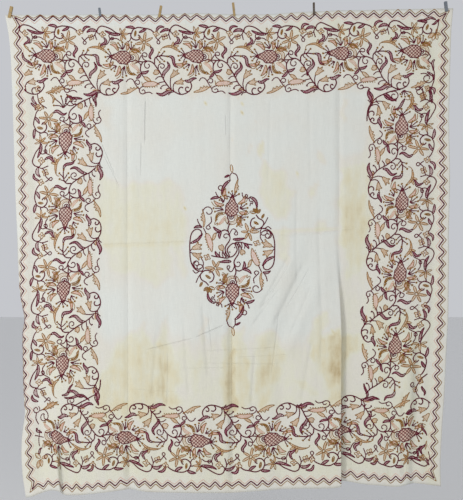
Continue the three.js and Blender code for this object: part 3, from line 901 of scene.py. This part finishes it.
def border_repeat():
    """One repeat of the border, about 378 mm long, with the head at its middle. The zigzag is up
    and the plain field down. Each named motif can be left out at a corner."""
    motifs = {"head": pineapple()}
    # Main stem, from the head's collar to the inner edge, with its hairs.
    motifs["stem"] = vine([72 + 20j, 100 + 22j, 126 + 18j, 155 + 32j, 180 + 64j, 200 + 100j,
                           218 + 134j, 245 + 165j])
    for hair in ([200 + 100j, 182 + 100j, 166 + 112j], [212 + 124j, 186 + 128j, 172 + 134j],
                 [224 + 142j, 204 + 144j, 190 + 156j], [236 + 156j, 226 + 158j, 220 + 166j]):
        motifs["stem"] += vine(hair, "plum")
    motifs["scroll"] = (
        vine([-133 + 165j, -120 + 176j, -90 + 189j, -62 + 188j, -38 + 174j, -26 + 152j, -32 + 130j])
        + vine([-122 + 174j, -126 + 152j, -118 + 134j, -104 + 126j], "plum")
        + blade(-62 + 122j, -2 + 112j, bend=0.1, sway=0.08, half=7)
        + spiral(-84 + 188j, -76 + 168j, 0.55, end=0.35, yarn="vine")
        + spiral(-38 + 176j, -48 + 164j, 0.8, end=0.3, yarn="vine")
    )
    motifs["scroll_tail"] = vine([-150 + 192j, -138 + 180j, -120 + 176j], "plum")
    motifs["scroll_tulip"] = flower(TULIP, -114 + 134j, -66 + 126j)
    motifs["tulip"] = (
        flower(TULIP, -138 + 108j, -102 + 68j)
        + vine([-138 + 108j, -142 + 136j, -136 + 164j], "plum")
    )
    motifs["tip_leaf"] = (
        blade(-132 + 168j, -214 + 180j, bend=-0.12, sway=0.05, half=8)
        + blade(-128 + 168j, -168 + 164j, bend=0.05, half=4, line="peach", fill="peach")
    )
    motifs["high_leaf"] = blade(-178 + 108j, -156 + 22j, bend=0.1, sway=-0.1, half=7)
    motifs["stem_curl"] = spiral(181 + 58j, 200 + 48j, 1.15, end=0.25)
    motifs["heart"] = flower(HEART, 184 + 84j, 158 + 72j)
    motifs["berries"] = (
        vine([160 + 32j, 160 + 12j, 170 - 2j, 196 - 8j, 226 - 6j])
        + sprig(170, [184 - 28j, 190 + 22j])
        + sprig(186 - 6j, [212 - 30j, 212 + 18j])
        + knot(228 - 6j)
        + blade(232 - 6j, 282 + 52j, bend=-0.04, sway=-0.12, half=6.5)
    )
    motifs["loop"] = vine([76 + 16j, 84 + 2j, 94 - 10j, 112 - 4j, 118 - 18j, 104 - 26j, 94 - 12j,
                           102 + 8j, 120 + 18j], "plum")
    motifs["inner_curl"] = spiral(122 + 20j, 124 + 42j, -0.95, end=0.3)
    motifs["branch"] = (
        vine([98 + 22j, 86 + 42j, 84 + 64j, 90 + 78j])
        + blade(88 + 76j, 130 + 66j, bend=0.14, half=5.5)
        + blade(88 + 80j, 62 + 104j, bend=-0.12, half=5.5)
        + spiral(84 + 48j, 66 + 40j, -0.4, end=0.7)
        + vine([92 + 80j, 98 + 92j, 106 + 98j], "plum")
        + flower(POD, 104 + 96j, 142 + 122j)
    )
    motifs["inner_tendril"] = (
        vine([10 + 124j, 24 + 108j, 42 + 110j, 58 + 134j, 72 + 154j, 82 + 162j], "plum")
        + spiral(58 + 134j, 70 + 124j, 1.05, end=0.55)
        + vine([108 + 144j, 90 + 150j, 80 + 162j, 84 + 178j, 100 + 184j, 112 + 174j, 104 + 162j,
                94 + 168j], "plum")
        + vine([100 + 184j, 118 + 176j, 136 + 174j, 150 + 184j], "plum")
    )
    motifs["comb"] = comb_leaf(98 + 142j, 184 + 138j) + vine([98 + 142j, 94 + 120j], "gold")
    motifs["horn"] = flower(CREST, -18 + 184j, 72 + 158j)
    motifs["comma"] = knot(193 + 157j, 3.4, "plum")
    motifs["tip_horn"] = (
        blade(-92 - 24j, -180 - 50j, bend=0.16, half=5.5, line="gold", fill="peach")
        + vine([-178 - 50j, -188 - 44j, -190 - 34j], "gold")
        + flower(POD, -130 - 50j, -122 - 76j) + flower(POD, -120 - 46j, -94 - 58j)
    )
    # Thinner outer vine, along the zigzag.
    motifs["outer_vine"] = (
        vine([-12 - 122j, -39 - 130j, -63 - 146j, -90 - 160j, -114 - 165j, -132 - 155j,
              -139 - 137j])
        + vine([-139 - 137j, -147 - 119j, -138 - 88j], "plum")
        + vine([-139 - 137j, -132 - 126j, -122 - 122j], "plum")
        + blade(-20 - 120j, -96 - 140j, bend=-0.07, half=6)
    )
    motifs["outer_tail"] = vine([-147 - 119j, -160 - 108j, -186 - 104j, -200 - 92j, -212 - 78j,
                                 -202 - 68j, -194 - 78j, -208 - 92j, -218 - 104j], "plum")
    motifs["outer_leaf"] = blade(-140 - 138j, -194 - 128j, bend=0.18, half=7)
    motifs["arch_leaf"] = blade(-212 - 134j, -172 - 158j, bend=-0.3, half=5.5)
    motifs["square_low"] = four_petal(-170 - 104j)
    motifs["square_high"] = four_petal(-110 - 120j, turn=0.1)
    motifs["square_leaf"] = blade(-104 - 104j, -122 - 56j, bend=-0.3, sway=-0.1, half=5.5)
    motifs["square_end"] = four_petal(168 - 122j, turn=0.2)
    lotus_tips = [-8 - 33j, 20 - 30j, 38 - 2j, 24 + 26j, -4 + 38j]
    motifs["lotus"] = petals(-12 - 122j, lotus_tips, half=0.12)
    motifs["lotus_scroll"] = (
        vine([22 - 124j, 36 - 126j, 38 - 112j, 50 - 97j, 68 - 91j, 84 - 98j, 86 - 110j, 76 - 118j])
        + vine([38 - 122j, 46 - 140j, 56 - 150j])
        + vine([40 - 108j, 34 - 92j, 22 - 86j], "plum")
        + blade(58 - 150j, 8 - 158j, bend=0.06, half=6)
        + flower(POD, 64 - 140j, 58 - 110j, fill="ochre")
    )
    motifs["arch"] = (
        vine([56 - 148j, 80 - 156j, 110 - 152j, 139 - 143j, 156 - 130j])
        + blade(118 - 150j, 82 - 130j, bend=-0.05, half=6)
    )
    lily_tips = [9 - 50j, 43 - 21j, 36 + 25j, -9 + 49j, -46 + 12j, -30 - 26j]
    motifs["lily"] = petals(106 - 82j, lily_tips, half=0.115)
    motifs["hanging_leaf"] = blade(138 - 56j, 140 + 8j, bend=-0.02, sway=-0.14, half=6)
    motifs["outer_loop"] = (
        vine([-108 - 66j, -90 - 66j, -80 - 80j, -72 - 98j, -58 - 108j, -52 - 96j, -66 - 92j,
              -70 - 98j, -50 - 100j, -36 - 98j, -22 - 88j], "plum")
        + vine([-72 - 98j, -76 - 116j, -64 - 128j, -52 - 126j], "plum")
    )
    return motifs


def medallion_half():
    """The upper half of the pointed centre design. Turned half round, it makes the lower half."""
    strokes = [(yarn, line * 1j - 212j) for yarn, line in pineapple()]
    strokes += flower(POD, -406j, -3 - 448j)
    strokes += vine([2 - 404j, 24 - 392j, 34 - 366j], "plum") + flower(CREST, 34 - 370j, 14 - 292j)
    strokes += vine([-2 - 404j, -12 - 390j, -10 - 362j], "plum")
    strokes += blade(-16 - 392j, -38 - 380j, half=4)
    strokes += blade(-8 - 364j, -54 - 290j, bend=0.16, half=6.5)
    strokes += spiral(-46 - 316j, -58 - 330j, 0.8, end=0.35)
    strokes += blade(-70 - 274j, -112 - 262j, bend=0.1, half=5.5)
    strokes += vine([-86 - 304j, -78 - 284j, -58 - 268j, -46 - 244j], "plum")
    strokes += vine([54 - 302j, 58 - 282j, 74 - 272j, 82 - 288j, 70 - 292j, 78 - 272j,
                     96 - 276j], "plum")
    strokes += blade(92 - 278j, 130 - 218j, bend=-0.22, half=6.5)
    strokes += vine([88 - 272j, 92 - 256j, 108 - 256j, 104 - 242j, 96 - 250j, 92 - 232j], "plum")
    strokes += petals(126 - 190j, [-34 - 12j, -16 - 30j, 4 - 34j, 26 - 22j], half=0.2, fill="ochre")
    strokes += vine([126 - 184j, 140 - 166j, 160 - 152j, 166 - 132j, 150 - 112j, 124 - 108j,
                     104 - 118j, 96 - 138j, 106 - 160j, 122 - 168j])
    strokes += flower(POD, 116 - 148j, 142 - 130j, fill="ochre")
    strokes += flower(POD, 156 - 164j, 172 - 190j, fill="ochre")
    strokes += vine([160 - 120j, 178 - 146j, 190 - 168j], "plum")
    strokes += vine([170 - 110j, 188 - 120j, 204 - 104j], "plum")
    strokes += spiral(160 - 112j, 170 - 92j, -1.1, end=0.3)
    star_tips = [-22 - 46j, -44 - 6j, -24 + 38j, 15 + 44j, 54 - 2j, 33 - 26j]
    strokes += petals(90 - 94j, star_tips, half=0.12)
    # Left side: a tall horn with a curl, a comb leaf, then the side scroll with its tulips.
    strokes += flower(CREST, -152 - 118j, -146 - 206j)
    strokes += spiral(-152 - 200j, -124 - 202j, 1.0, end=0.35)
    strokes += blade(-158 - 118j, -200 - 112j, bend=0.14, half=5)
    strokes += vine([-182 - 164j, -176 - 140j, -160 - 118j], "plum")
    strokes += vine([-112 - 176j, -108 - 150j, -124 - 132j, -138 - 120j, -128 - 108j, -112 - 114j,
                     -120 - 130j], "plum")
    strokes += vine([-152 - 116j, -140 - 92j, -134 - 80j], "plum")
    strokes += comb_leaf(-138 - 84j, -108 + 6j)
    strokes += vine([-176 - 68j, -160 - 82j, -166 - 102j, -188 - 106j, -212 - 88j, -220 - 50j, -224,
                     -220 + 42j, -208 + 80j, -182 + 106j, -150 + 114j])
    strokes += blade(-218 - 38j, -154 - 84j, bend=0.1, half=6.5)
    strokes += flower(TULIP, -212 - 6j, -160 - 28j) + flower(TULIP, -210 + 16j, -156 + 40j)
    strokes += vine([-222 + 4j, -212 - 6j], "plum") + vine([-222 + 10j, -210 + 16j], "plum")
    strokes += spiral(-160 + 44j, -180 + 74j, 0.8, end=0.4)
    strokes += spiral(-196 + 92j, -186 + 74j, 1.1, end=0.3)
    # Middle: the stem winds out of the head's collar and round itself.
    strokes += vine([-10 - 146j, -20 - 108j, -12 - 60j, -36 - 12j, -28 + 26j, 2 + 32j, 26, 14 - 32j,
                     36 - 40j, 76 - 34j, 108 - 26j])
    strokes += blade(-56 - 100j, -96 - 122j, bend=-0.14, half=5.5)
    strokes += blade(-56 - 98j, -62 - 58j, bend=0.12, half=5.5)
    strokes += vine([-16 - 96j, -36 - 108j, -56 - 100j, -82 - 88j])
    strokes += flower(POD, -82 - 90j, -102 - 50j)
    strokes += spiral(-14 - 70j, -32 - 70j, -0.9, end=0.35)
    strokes += vine([-14 - 82j, 4 - 112j, 24 - 98j, 26 - 82j, 12 - 84j, 18 - 100j], "plum")
    strokes += blade(4 - 58j, 66 - 62j, bend=0.06, half=6.5)
    strokes += blade(64 - 36j, 88 - 4j, bend=-0.1, half=5.5)
    for reach in (0.0, 14.0, 28.0):
        strokes += vine([34 - 38j + reach, 40 - 22j + reach, 36 - 6j + reach * 1.1], "plum")
    strokes += flower(HEART, -50 + 2j, -62 - 26j) + vine([-50 + 2j, -44 + 24j, -28 + 32j], "plum")
    strokes += four_petal(130 - 36j) + knot(12 - 12j, 3, "plum")
    return strokes


# Where each repeat's head sits and how it is turned. outer is how far the side towards the zigzag
# is drawn out, and inner the same for the side towards the field. The ones at a corner leave some
# motifs out.
START_LEAVES_OUT = ("tulip", "tip_leaf", "scroll_tail", "outer_tail", "high_leaf")
END_LEAVES_OUT = ("branch", "loop", "inner_tendril", "inner_curl", "lily", "arch", "comb",
                  "stem_curl", "hanging_leaf")
BORDER_ROWS = table(
    "turn outer inner heads",
    (1, 1.0, 1.03, [196 + 215j, 592 + 224j, 974 + 224j, 1355 + 224j, 1729 + 224j, 2111 + 222j]),
    (-1j, 1.12, 1.03, [282 + 648j, 277 + 1036j, 273 + 1419j, 263 + 1806j]),
    (-1, 1.06, 0.97,
     [2092 + 2230j, 1722 + 2214j, 1352 + 2232j, 972 + 2227j, 592 + 2218j, 216 + 2205j]),
    (1j, 1.14, 0.92, [2041 + 622j, 2042 + 1014j, 2036 + 1388j, 2018 + 1766j]),
)
BAND_SIDE, BAND_END = 78.0, 55.0
SIDE_ROWS_START, SIDE_ROWS_END = 428.0, 2000.0
MEDALLION_CENTRE = 1158 + 1234j
# What fits the corners, where the repeats meet.
CORNER_FILLERS = table(
    "kind root tip bend",
    # Top left.
    ("crest", 75 + 153j, 96 + 189j),
    ("plume", 63 + 195j, 111 + 264j, 0.12),
    ("tulip", 66 + 312j, 108 + 291j),
    ("square", 135 + 384j),
    ("crest", 291 + 384j, 195 + 402j),
    ("hook", 198 + 414j, 213 + 459j, -0.25),
    ("berries", 273 + 483j, 261 + 423j),
    ("curl", 336 + 462j, 309 + 444j),
    ("plume", 372 + 440j, 288 + 412j, -0.12),
    ("plume", 453 + 414j, 447 + 483j, 0.12),
    ("square", 153 + 441j),
    ("square", 129 + 477j),
    ("plume", 111 + 420j, 129 + 465j, 0.15),
    ("tendril", 132 + 411j, 180 + 483j, 0.2),
    ("plume", 99 + 453j, 117 + 495j, -0.2),
    ("tendril", 297 + 387j, 324 + 363j, 0.3),
    ("tendril", 378 + 447j, 384 + 483j, -0.2),
    # Top right.
    ("plume", 2217 + 60j, 2127 + 66j, 0.1),
    ("plume", 2235 + 60j, 2196 + 84j, -0.1),
    ("tendril", 2232 + 63j, 2217 + 129j, -0.1),
    ("petal", 2220 + 126j, 2181 + 150j),
    ("petal", 2220 + 126j, 2205 + 165j),
    ("petal", 2220 + 126j, 2229 + 162j),
    ("petal", 2220 + 126j, 2247 + 138j),
    ("petal", 2220 + 126j, 2229 + 105j),
    ("plume", 2217 + 267j, 2211 + 321j, 0.1),
    ("plume", 2178 + 327j, 2211 + 372j, -0.2),
    ("curl", 2205 + 342j, 2181 + 363j),
    ("tendril", 2145 + 339j, 2190 + 351j, -0.2),
    ("curl", 2124 + 411j, 2136 + 432j),
    ("square", 2181 + 417j),
    ("square", 2157 + 462j),
    ("plume", 2205 + 408j, 2211 + 459j, 0.15),
    ("plume", 2196 + 456j, 2208 + 492j, -0.15),
    ("berries", 2061 + 423j, 2064 + 456j),
    ("plume", 2064 + 468j, 1998 + 528j, -0.15),
    ("plume", 1947 + 444j, 2019 + 480j, 0.12),
    ("plume", 1872 + 420j, 1881 + 480j, -0.15),
    ("antler", 2094 + 444j, 2079 + 519j),
    ("curl", 1989 + 432j, 2004 + 453j),
    ("tendril", 1908 + 462j, 1923 + 495j, 0.2),
    # Bottom left.
    ("crest", 129 + 2064j, 225 + 2025j),
    ("curl", 114 + 2067j, 135 + 2097j),
    ("tendril", 135 + 2082j, 168 + 2118j, 0.3),
    ("curl", 108 + 2040j, 93 + 2055j),
    ("plume", 93 + 2154j, 123 + 2187j, 0.2),
    ("tendril", 111 + 2169j, 108 + 2253j, 0.05),
    ("tendril", 84 + 2193j, 132 + 2211j),
    ("plume", 99 + 2295j, 123 + 2265j, -0.15),
    ("petal", 108 + 2322j, 84 + 2286j),
    ("petal", 108 + 2322j, 87 + 2370j),
    ("petal", 108 + 2322j, 153 + 2313j),
    ("petal", 108 + 2322j, 111 + 2367j),
    ("tendril", 93 + 2070j, 105 + 2136j, 0.15),
    ("plume", 256 + 1975j, 318 + 1922j, 0.1),
    ("plume", 268 + 1985j, 408 + 2008j, -0.12),
    ("curl", 288 + 2018j, 304 + 2003j),
    ("plume", 450 + 1975j, 458 + 2035j, 0.1),
    # Bottom right.
    ("crest", 2048 + 2080j, 2104 + 2018j),
    ("square", 2168 + 1952j),
    ("square", 2140 + 1998j),
    ("plume", 2174 + 1980j, 2190 + 2030j, -0.15),
    ("curl", 2136 + 1975j, 2122 + 1966j),
    ("plume", 1868 + 2040j, 1860 + 1960j, 0.1),
    ("plume", 1880 + 2046j, 1945 + 2040j, -0.1),
    ("plume", 2127 + 2112j, 2088 + 2118j, 0.2),
    ("tulip", 2226 + 2124j, 2190 + 2160j),
    ("plume", 2187 + 2178j, 2220 + 2241j, 0.1),
    ("crest", 2220 + 2271j, 2211 + 2313j),
    ("square", 2193 + 2358j),
    ("plume", 2184 + 2307j, 2172 + 2352j, 0.25),
    ("tendril", 2124 + 2376j, 2232 + 2391j, -0.25),
    ("plume", 2226 + 2364j, 2235 + 2394j, 0.2),
)


def fill_corner(kind, root, tip=None, bend=0.0):
    """One small motif of a corner, by its name in the table."""
    if kind == "plume":
        return blade(root, tip, bend=bend, sway=0.06, half=5.0)
    if kind == "hook":
        return blade(root, tip, bend=bend, half=4.5, line="gold", fill="peach")
    if kind == "tendril":
        return vine([root, (root + tip) / 2 + 1j * bend * (tip - root), tip], "plum")
    if kind == "curl":
        return spiral(root, tip, 1.2, end=0.3)
    if kind == "petal":
        return petals(root, [tip - root], half=0.2)
    if kind == "square":
        return four_petal(root)
    if kind == "antler":
        return antler(root, tip)
    if kind == "berries":
        ahead = tip - root
        turns = (1, 0.9 + 0.6j, 0.5 + 0.75j, 0.9 - 0.6j, 0.4 - 0.8j)
        return sprig(root, [root + ahead * turn for turn in turns])
    return flower(TULIP if kind == "tulip" else CREST, root, tip)


def inside_band(line, turn):
    """Whether a motif is kept: clear of the zigzag, and on its own side of the corner."""
    across = (line.real.min() + line.real.max()) / 2
    down = (line.imag.min() + line.imag.max()) / 2
    clear_across = BAND_SIDE < across < CLOTH_WIDTH - BAND_SIDE
    clear_down = BAND_END < down < CLOTH_LENGTH - BAND_END
    own_side = turn in (1, -1) or SIDE_ROWS_START < down < SIDE_ROWS_END
    return clear_across and clear_down and own_side


LAST_HEAD = 5
strokes = []
repeat = border_repeat()
for row in BORDER_ROWS:
    for i, head in enumerate(row["heads"]):
        left_out = ()
        if row["turn"] in (1, -1):
            left_out = {0: START_LEAVES_OUT, LAST_HEAD: END_LEAVES_OUT}.get(i, ())
        for name, motif in repeat.items():
            if name in left_out:
                continue
            placed = []
            for yarn, line in motif:
                drawn = np.where(line.imag < 0, row["outer"], row["inner"])
                placed.append((yarn, head + (line.real + 1j * line.imag * drawn) * row["turn"]))
            if inside_band(np.concatenate([line for _, line in placed]), row["turn"]):
                strokes += placed
for turn in (1, -1):
    strokes += [(yarn, MEDALLION_CENTRE + line * turn) for yarn, line in medallion_half()]
for filler in CORNER_FILLERS:
    strokes += fill_corner(**filler)
# Stems that carry the pattern round the corners.
strokes += vine([2040 + 420j, 1980 + 430j, 1920 + 455j, 1876 + 495j, 1860 + 545j, 1858 + 580j])
strokes += vine([470 + 1900j, 468 + 1940j, 450 + 1975j, 412 + 1992j, 368 + 2008j, 312 + 2032j])
strokes += vine([2204 + 1915j, 2168 + 1945j, 2144 + 1998j, 2166 + 2040j])
strokes += vine([2160 + 222j, 2180 + 228j, 2196 + 250j, 2184 + 272j, 2204 + 292j, 2217 + 330j,
                 2216 + 370j, 2206 + 415j, 2196 + 470j])

# Three zigzags run side by side round all four edges, through points at mid height of the plum
# one. inward is the way towards the cloth's middle there.
ZIGZAG_PERIOD = 62.0
ZIGZAG_HALF = 13.5
ZIGZAG_STEP = 2.6
EDGE_ROOM = 2
ZIGZAG_ROWS = table(
    "yarn inset",
    ("gold", -13.5),
    ("vine", 0.0),
    ("pink", 14.0),
)
ZIGZAG_CORNERS = table(
    "across down inward",
    (50, 20, 1 + 1j),
    (2263, 30, -1 + 1j),
    (2254, 2456, -1 - 1j),
    (50, 2457, 1 - 1j),
    (43, 350, 1 + 0j),
)
for row in ZIGZAG_ROWS:
    for corner, following in zip(ZIGZAG_CORNERS, ZIGZAG_CORNERS[1:] + ZIGZAG_CORNERS[:1]):
        start, end = (c["across"] + 1j * c["down"] for c in (corner, following))
        run = end - start
        inward = 1j * run / abs(run)
        count = int(round(abs(run) / ZIGZAG_PERIOD))
        line = [start + (row["inset"] - ZIGZAG_HALF * 0.5) * corner["inward"]]
        for i in range(count):
            line.append(start + run * (i + 0.5) / count + (row["inset"] + ZIGZAG_HALF) * inward)
            line.append(start + run * (i + 1) / count + (row["inset"] - ZIGZAG_HALF) * inward)
        line[-1] = end + (row["inset"] - ZIGZAG_HALF * 0.5) * following["inward"]
        line = np.array(line)
        across = np.clip(line.real, EDGE_ROOM, CLOTH_WIDTH - EDGE_ROOM)
        down = np.clip(line.imag, EDGE_ROOM, CLOTH_LENGTH - EDGE_ROOM)
        strokes.append((row["yarn"], even_steps(across + 1j * down, ZIGZAG_STEP)))


def hand_wobble(points):
    """The small drift of hand work, smooth over a few centimetres."""
    across, down = points.real, points.imag
    drift = 1.6 * np.sin(across / 31 + down / 57) + 1.1 * np.sin(across / 13 - down / 19 + 1.3)
    slip = 1.6 * np.sin(down / 29 - across / 61 + 0.7) + 1.1 * np.sin(down / 14 + across / 17)
    return points + drift + 1j * slip


def strands(lines, size, side=1.0):
    """Lays lines on the draped cloth as low ridges of three-point rings, wide and narrow by turns.
    side is 1 for the front and -1 for the reverse. Gives vertices, uv, quads, triangles."""
    lengths = np.array([len(line) for line in lines])
    first = np.concatenate([[0], np.cumsum(lengths)[:-1]])
    last = first + lengths - 1
    centres = np.concatenate(lines)
    ahead = np.concatenate([np.gradient(line) for line in lines])
    aside = 1j * ahead / np.maximum(np.abs(ahead), 1e-9)
    narrow = [np.where(np.arange(count) % 2 == 0, size["pinch"], 1.0) for count in lengths]
    narrow = np.concatenate(narrow)[:, None]
    runs = np.concatenate([np.append(0, np.cumsum(np.abs(np.diff(line)))) for line in lines])

    place, rightward, downward, face = lie(centres.real, centres.imag)
    face = face * side
    across = (rightward * aside.real[:, None] + downward * aside.imag[:, None]) * side
    width = across * (size["half"] * narrow)
    low = place + face * (CLOTH_THICKNESS / 2 - STITCH_SUNK)
    high = place + face * (CLOTH_THICKNESS / 2 + size["height"] * narrow)
    vertices = np.stack([low - width, high, low + width], axis=1).reshape(-1, 3)
    round_place = np.tile([0.0, 0.5, 1.0], len(centres))
    uv = np.stack([np.repeat(runs / size["link"], 3), round_place], axis=1)

    followed = np.ones(len(centres), bool)
    followed[last] = False
    at = np.nonzero(followed)[0] * 3
    sides = ((0, 1), (1, 2), (2, 0))
    quads = [np.stack([at + a, at + a + 3, at + b + 3, at + b], axis=1) for a, b in sides]
    ends = [first[:, None] * 3 + [0, 1, 2], last[:, None] * 3 + [2, 1, 0]]
    return vertices, uv, np.concatenate(quads), np.concatenate(ends)


def stitched_piece(name, lines, size):
    """The rows of one yarn with their reverse, where they show as short straight stitches."""
    dashes = [line[i : i + 3 : 2] for line in lines for i in range(0, len(line) - 2, 3)]
    vertices, uv, quads, ends = strands(lines, size)
    dash_vertices, dash_uv, dash_quads, dash_ends = strands(dashes, REVERSE, side=-1.0)
    offset = len(vertices)
    return make_mesh(
        name,
        np.concatenate([vertices, dash_vertices]),
        np.concatenate([quads, dash_quads + offset]),
        np.concatenate([ends, dash_ends + offset]),
        np.concatenate([uv, dash_uv]),
    )


# Each yarn's dye. The dark stems and the netting are of the plum one.
COLOURS = {
    "plum": (0.122, 0.015, 0.029),
    "mauve": (0.32, 0.105, 0.145),
    "gold": (0.3, 0.15, 0.045),
    "peach": (0.6, 0.385, 0.22),
    "ochre": (0.29, 0.14, 0.03),
    "pink": (0.70, 0.42, 0.33),
}
# How high the strands stand, and how fine the fibres and the fading are.
STRAND_HEIGHT = 0.0006
FIBRE_SCALE, FADE_SCALE = 1400.0, 14.0


def wool(yarn):
    """Each link is two strands that meet in a V, with painted shade where they meet; the dye has
    faded unevenly.
    """
    material = new_material(f"wool_{yarn}", roughness=0.95, specular=0.08)
    tree = material.node_tree
    uv = add(tree, "SeparateXYZ", {"Vector": add(tree, "UVMap").outputs[0]}).outputs
    # Painted shade and light: each strand is darker where it meets the next in the V and paler
    # along its middle. The same curve also makes its bump.
    aside = maths(tree, "ABSOLUTE", maths(tree, "SUBTRACT", uv["Y"], 0.5))
    along = plus(tree, uv["X"], times(tree, aside, 1.5))
    twist = times(tree, maths(tree, "FRACT", along), math.pi)
    strand_relief_and_shade = maths(tree, "SINE", twist)
    place = add(tree, "TexCoord").outputs["Object"]
    fibre, fade = noise(tree, place, FIBRE_SCALE, 2.0), noise(tree, place, FADE_SCALE, 4.0)
    # Its lightness is a steady part and a share of each: painted strand shade, fibres and fading.
    light = 0.37
    for amount, share in ((strand_relief_and_shade, 0.34), (fibre, 0.3), (fade, 0.5)):
        light = plus(tree, times(tree, amount, share), light)
    height = plus(tree, strand_relief_and_shade, times(tree, fibre, 0.5))
    height = times(tree, height, STRAND_HEIGHT)
    finish_surface(tree, scaled(tree, COLOURS[yarn], light), height)
    return material


WOOLS = {yarn: wool(yarn) for yarn in COLOURS}
SHORT_LINE, SHORT_STEP = 45, 0.6
for yarn, size in YARNS.items():
    dye = "plum" if yarn in ("vine", "net") else yarn
    lines = []
    for kind, line in strokes:
        if kind == yarn and len(line) > 1:
            short = np.abs(np.diff(line)).sum() < SHORT_LINE
            step = size["step"] * (SHORT_STEP if short else 1.0)
            lines.append(even_steps(hand_wobble(line), step))
    piece = stitched_piece(f"stitching_{yarn}", lines, size)
    piece.data.materials.append(WOOLS[dye])
    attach(piece, "root")


# THE PEGS
# Spring clothes pegs: three of beech, two of grey plastic, one of dark wood, each with its wire.
# They keep the CAD's shapes.
def peg_finish(name, light, deep, grain, roughness, metallic=0.0):
    """light and deep are two tones of one colour, mixed by a noise that runs along the leg."""
    material = new_material(name, roughness, metallic=metallic)
    tree = material.node_tree
    pattern = noise(tree, add(tree, "TexCoord").outputs["Object"], grain, 5.0)
    colour = colour_ramp(tree, pattern, {0.35: deep, 0.65: light})
    finish_surface(tree, colour, pattern, distance=0.0003, strength=0.6)
    return material


WOOD_GRAIN, SPECKLE = (900, 900, 45), (400, 400, 400)
beech = peg_finish("beech", (0.42, 0.30, 0.13), (0.28, 0.18, 0.07), WOOD_GRAIN, 0.7)
grey = peg_finish("grey_plastic", (0.15, 0.17, 0.20), (0.12, 0.14, 0.16), SPECKLE, 0.45)
dark = peg_finish("dark_wood", (0.10, 0.07, 0.045), (0.05, 0.035, 0.025), WOOD_GRAIN, 0.6)
steel = peg_finish("spring_wire", (0.5, 0.5, 0.5), (0.4, 0.4, 0.4), SPECKLE, 0.3, metallic=1.0)
for peg, legs in enumerate((beech, grey, beech, beech, dark, grey), start=1):
    for part in ("front", "back", "spring"):
        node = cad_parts[f"peg_{peg}_{part}"]
        node.data.materials.clear()
        node.data.materials.append(steel if part == "spring" else legs)


# THE STUDIO
# A pale floor below the hem, soft even light from the front left, and the camera straight on at
# the cloth's mid height.
PHOTO_WIDTH, PHOTO_HEIGHT = 463, 500
MM_PER_PIXEL = 5.18
PIXEL_OF_ORIGIN = (231.0, 15.3)
CAMERA_DISTANCE = 5.2
SENSOR = 36.0
FLOOR_SIZE, FLOOR_HEIGHT = 40, -2.9
FLOOR_COLOUR = (0.8, 0.8, 0.79, 1)
SKY_COLOUR, SKY_STRENGTH = (0.93, 0.95, 1.0, 1), 0.6

bpy.ops.mesh.primitive_plane_add(size=FLOOR_SIZE, location=(0, 0, FLOOR_HEIGHT))
floor = bpy.context.object
floor.name = "floor"
pale = new_material("pale_floor", roughness=0.5)
pale.node_tree.nodes["Principled BSDF"].inputs["Base Color"].default_value = FLOOR_COLOUR
floor.data.materials.append(pale)

camera = bpy.data.objects.new("camera", bpy.data.cameras.new("camera"))
bpy.context.scene.collection.objects.link(camera)
bpy.context.scene.camera = camera
camera.data.sensor_width = SENSOR
camera.data.lens = SENSOR * CAMERA_DISTANCE / (PHOTO_HEIGHT * MM_PER_PIXEL * MM)
camera.location = (
    (PHOTO_WIDTH / 2 - PIXEL_OF_ORIGIN[0]) * MM_PER_PIXEL * MM,
    -CAMERA_DISTANCE,
    (PIXEL_OF_ORIGIN[1] - PHOTO_HEIGHT / 2) * MM_PER_PIXEL * MM,
)
camera.rotation_euler = (math.pi / 2, 0, 0)

world = bpy.data.worlds.new("studio")
bpy.context.scene.world = world
world.use_nodes = True
sky = world.node_tree.nodes["Background"].inputs
sky["Color"].default_value = SKY_COLOUR
sky["Strength"].default_value = SKY_STRENGTH


def softbox(name, place, aim, size, power):
    """A round soft light that faces its aim."""
    light = bpy.data.objects.new(name, bpy.data.lights.new(name, "AREA"))
    light.data.shape = "DISK"
    light.data.size = size
    light.data.energy = power
    light.location = place
    light.rotation_euler = (Vector(aim) - Vector(place)).to_track_quat("-Z", "Y").to_euler()
    bpy.context.scene.collection.objects.link(light)


softbox("key", (-3.4, -4.0, -0.55), (-0.2, 0, -1.3), size=1.3, power=121)
softbox("fill", (3.4, -4.6, -0.6), (0.4, 0, -1.3), size=2.2, power=42)
bpy.context.scene.view_settings.view_transform = "Standard"
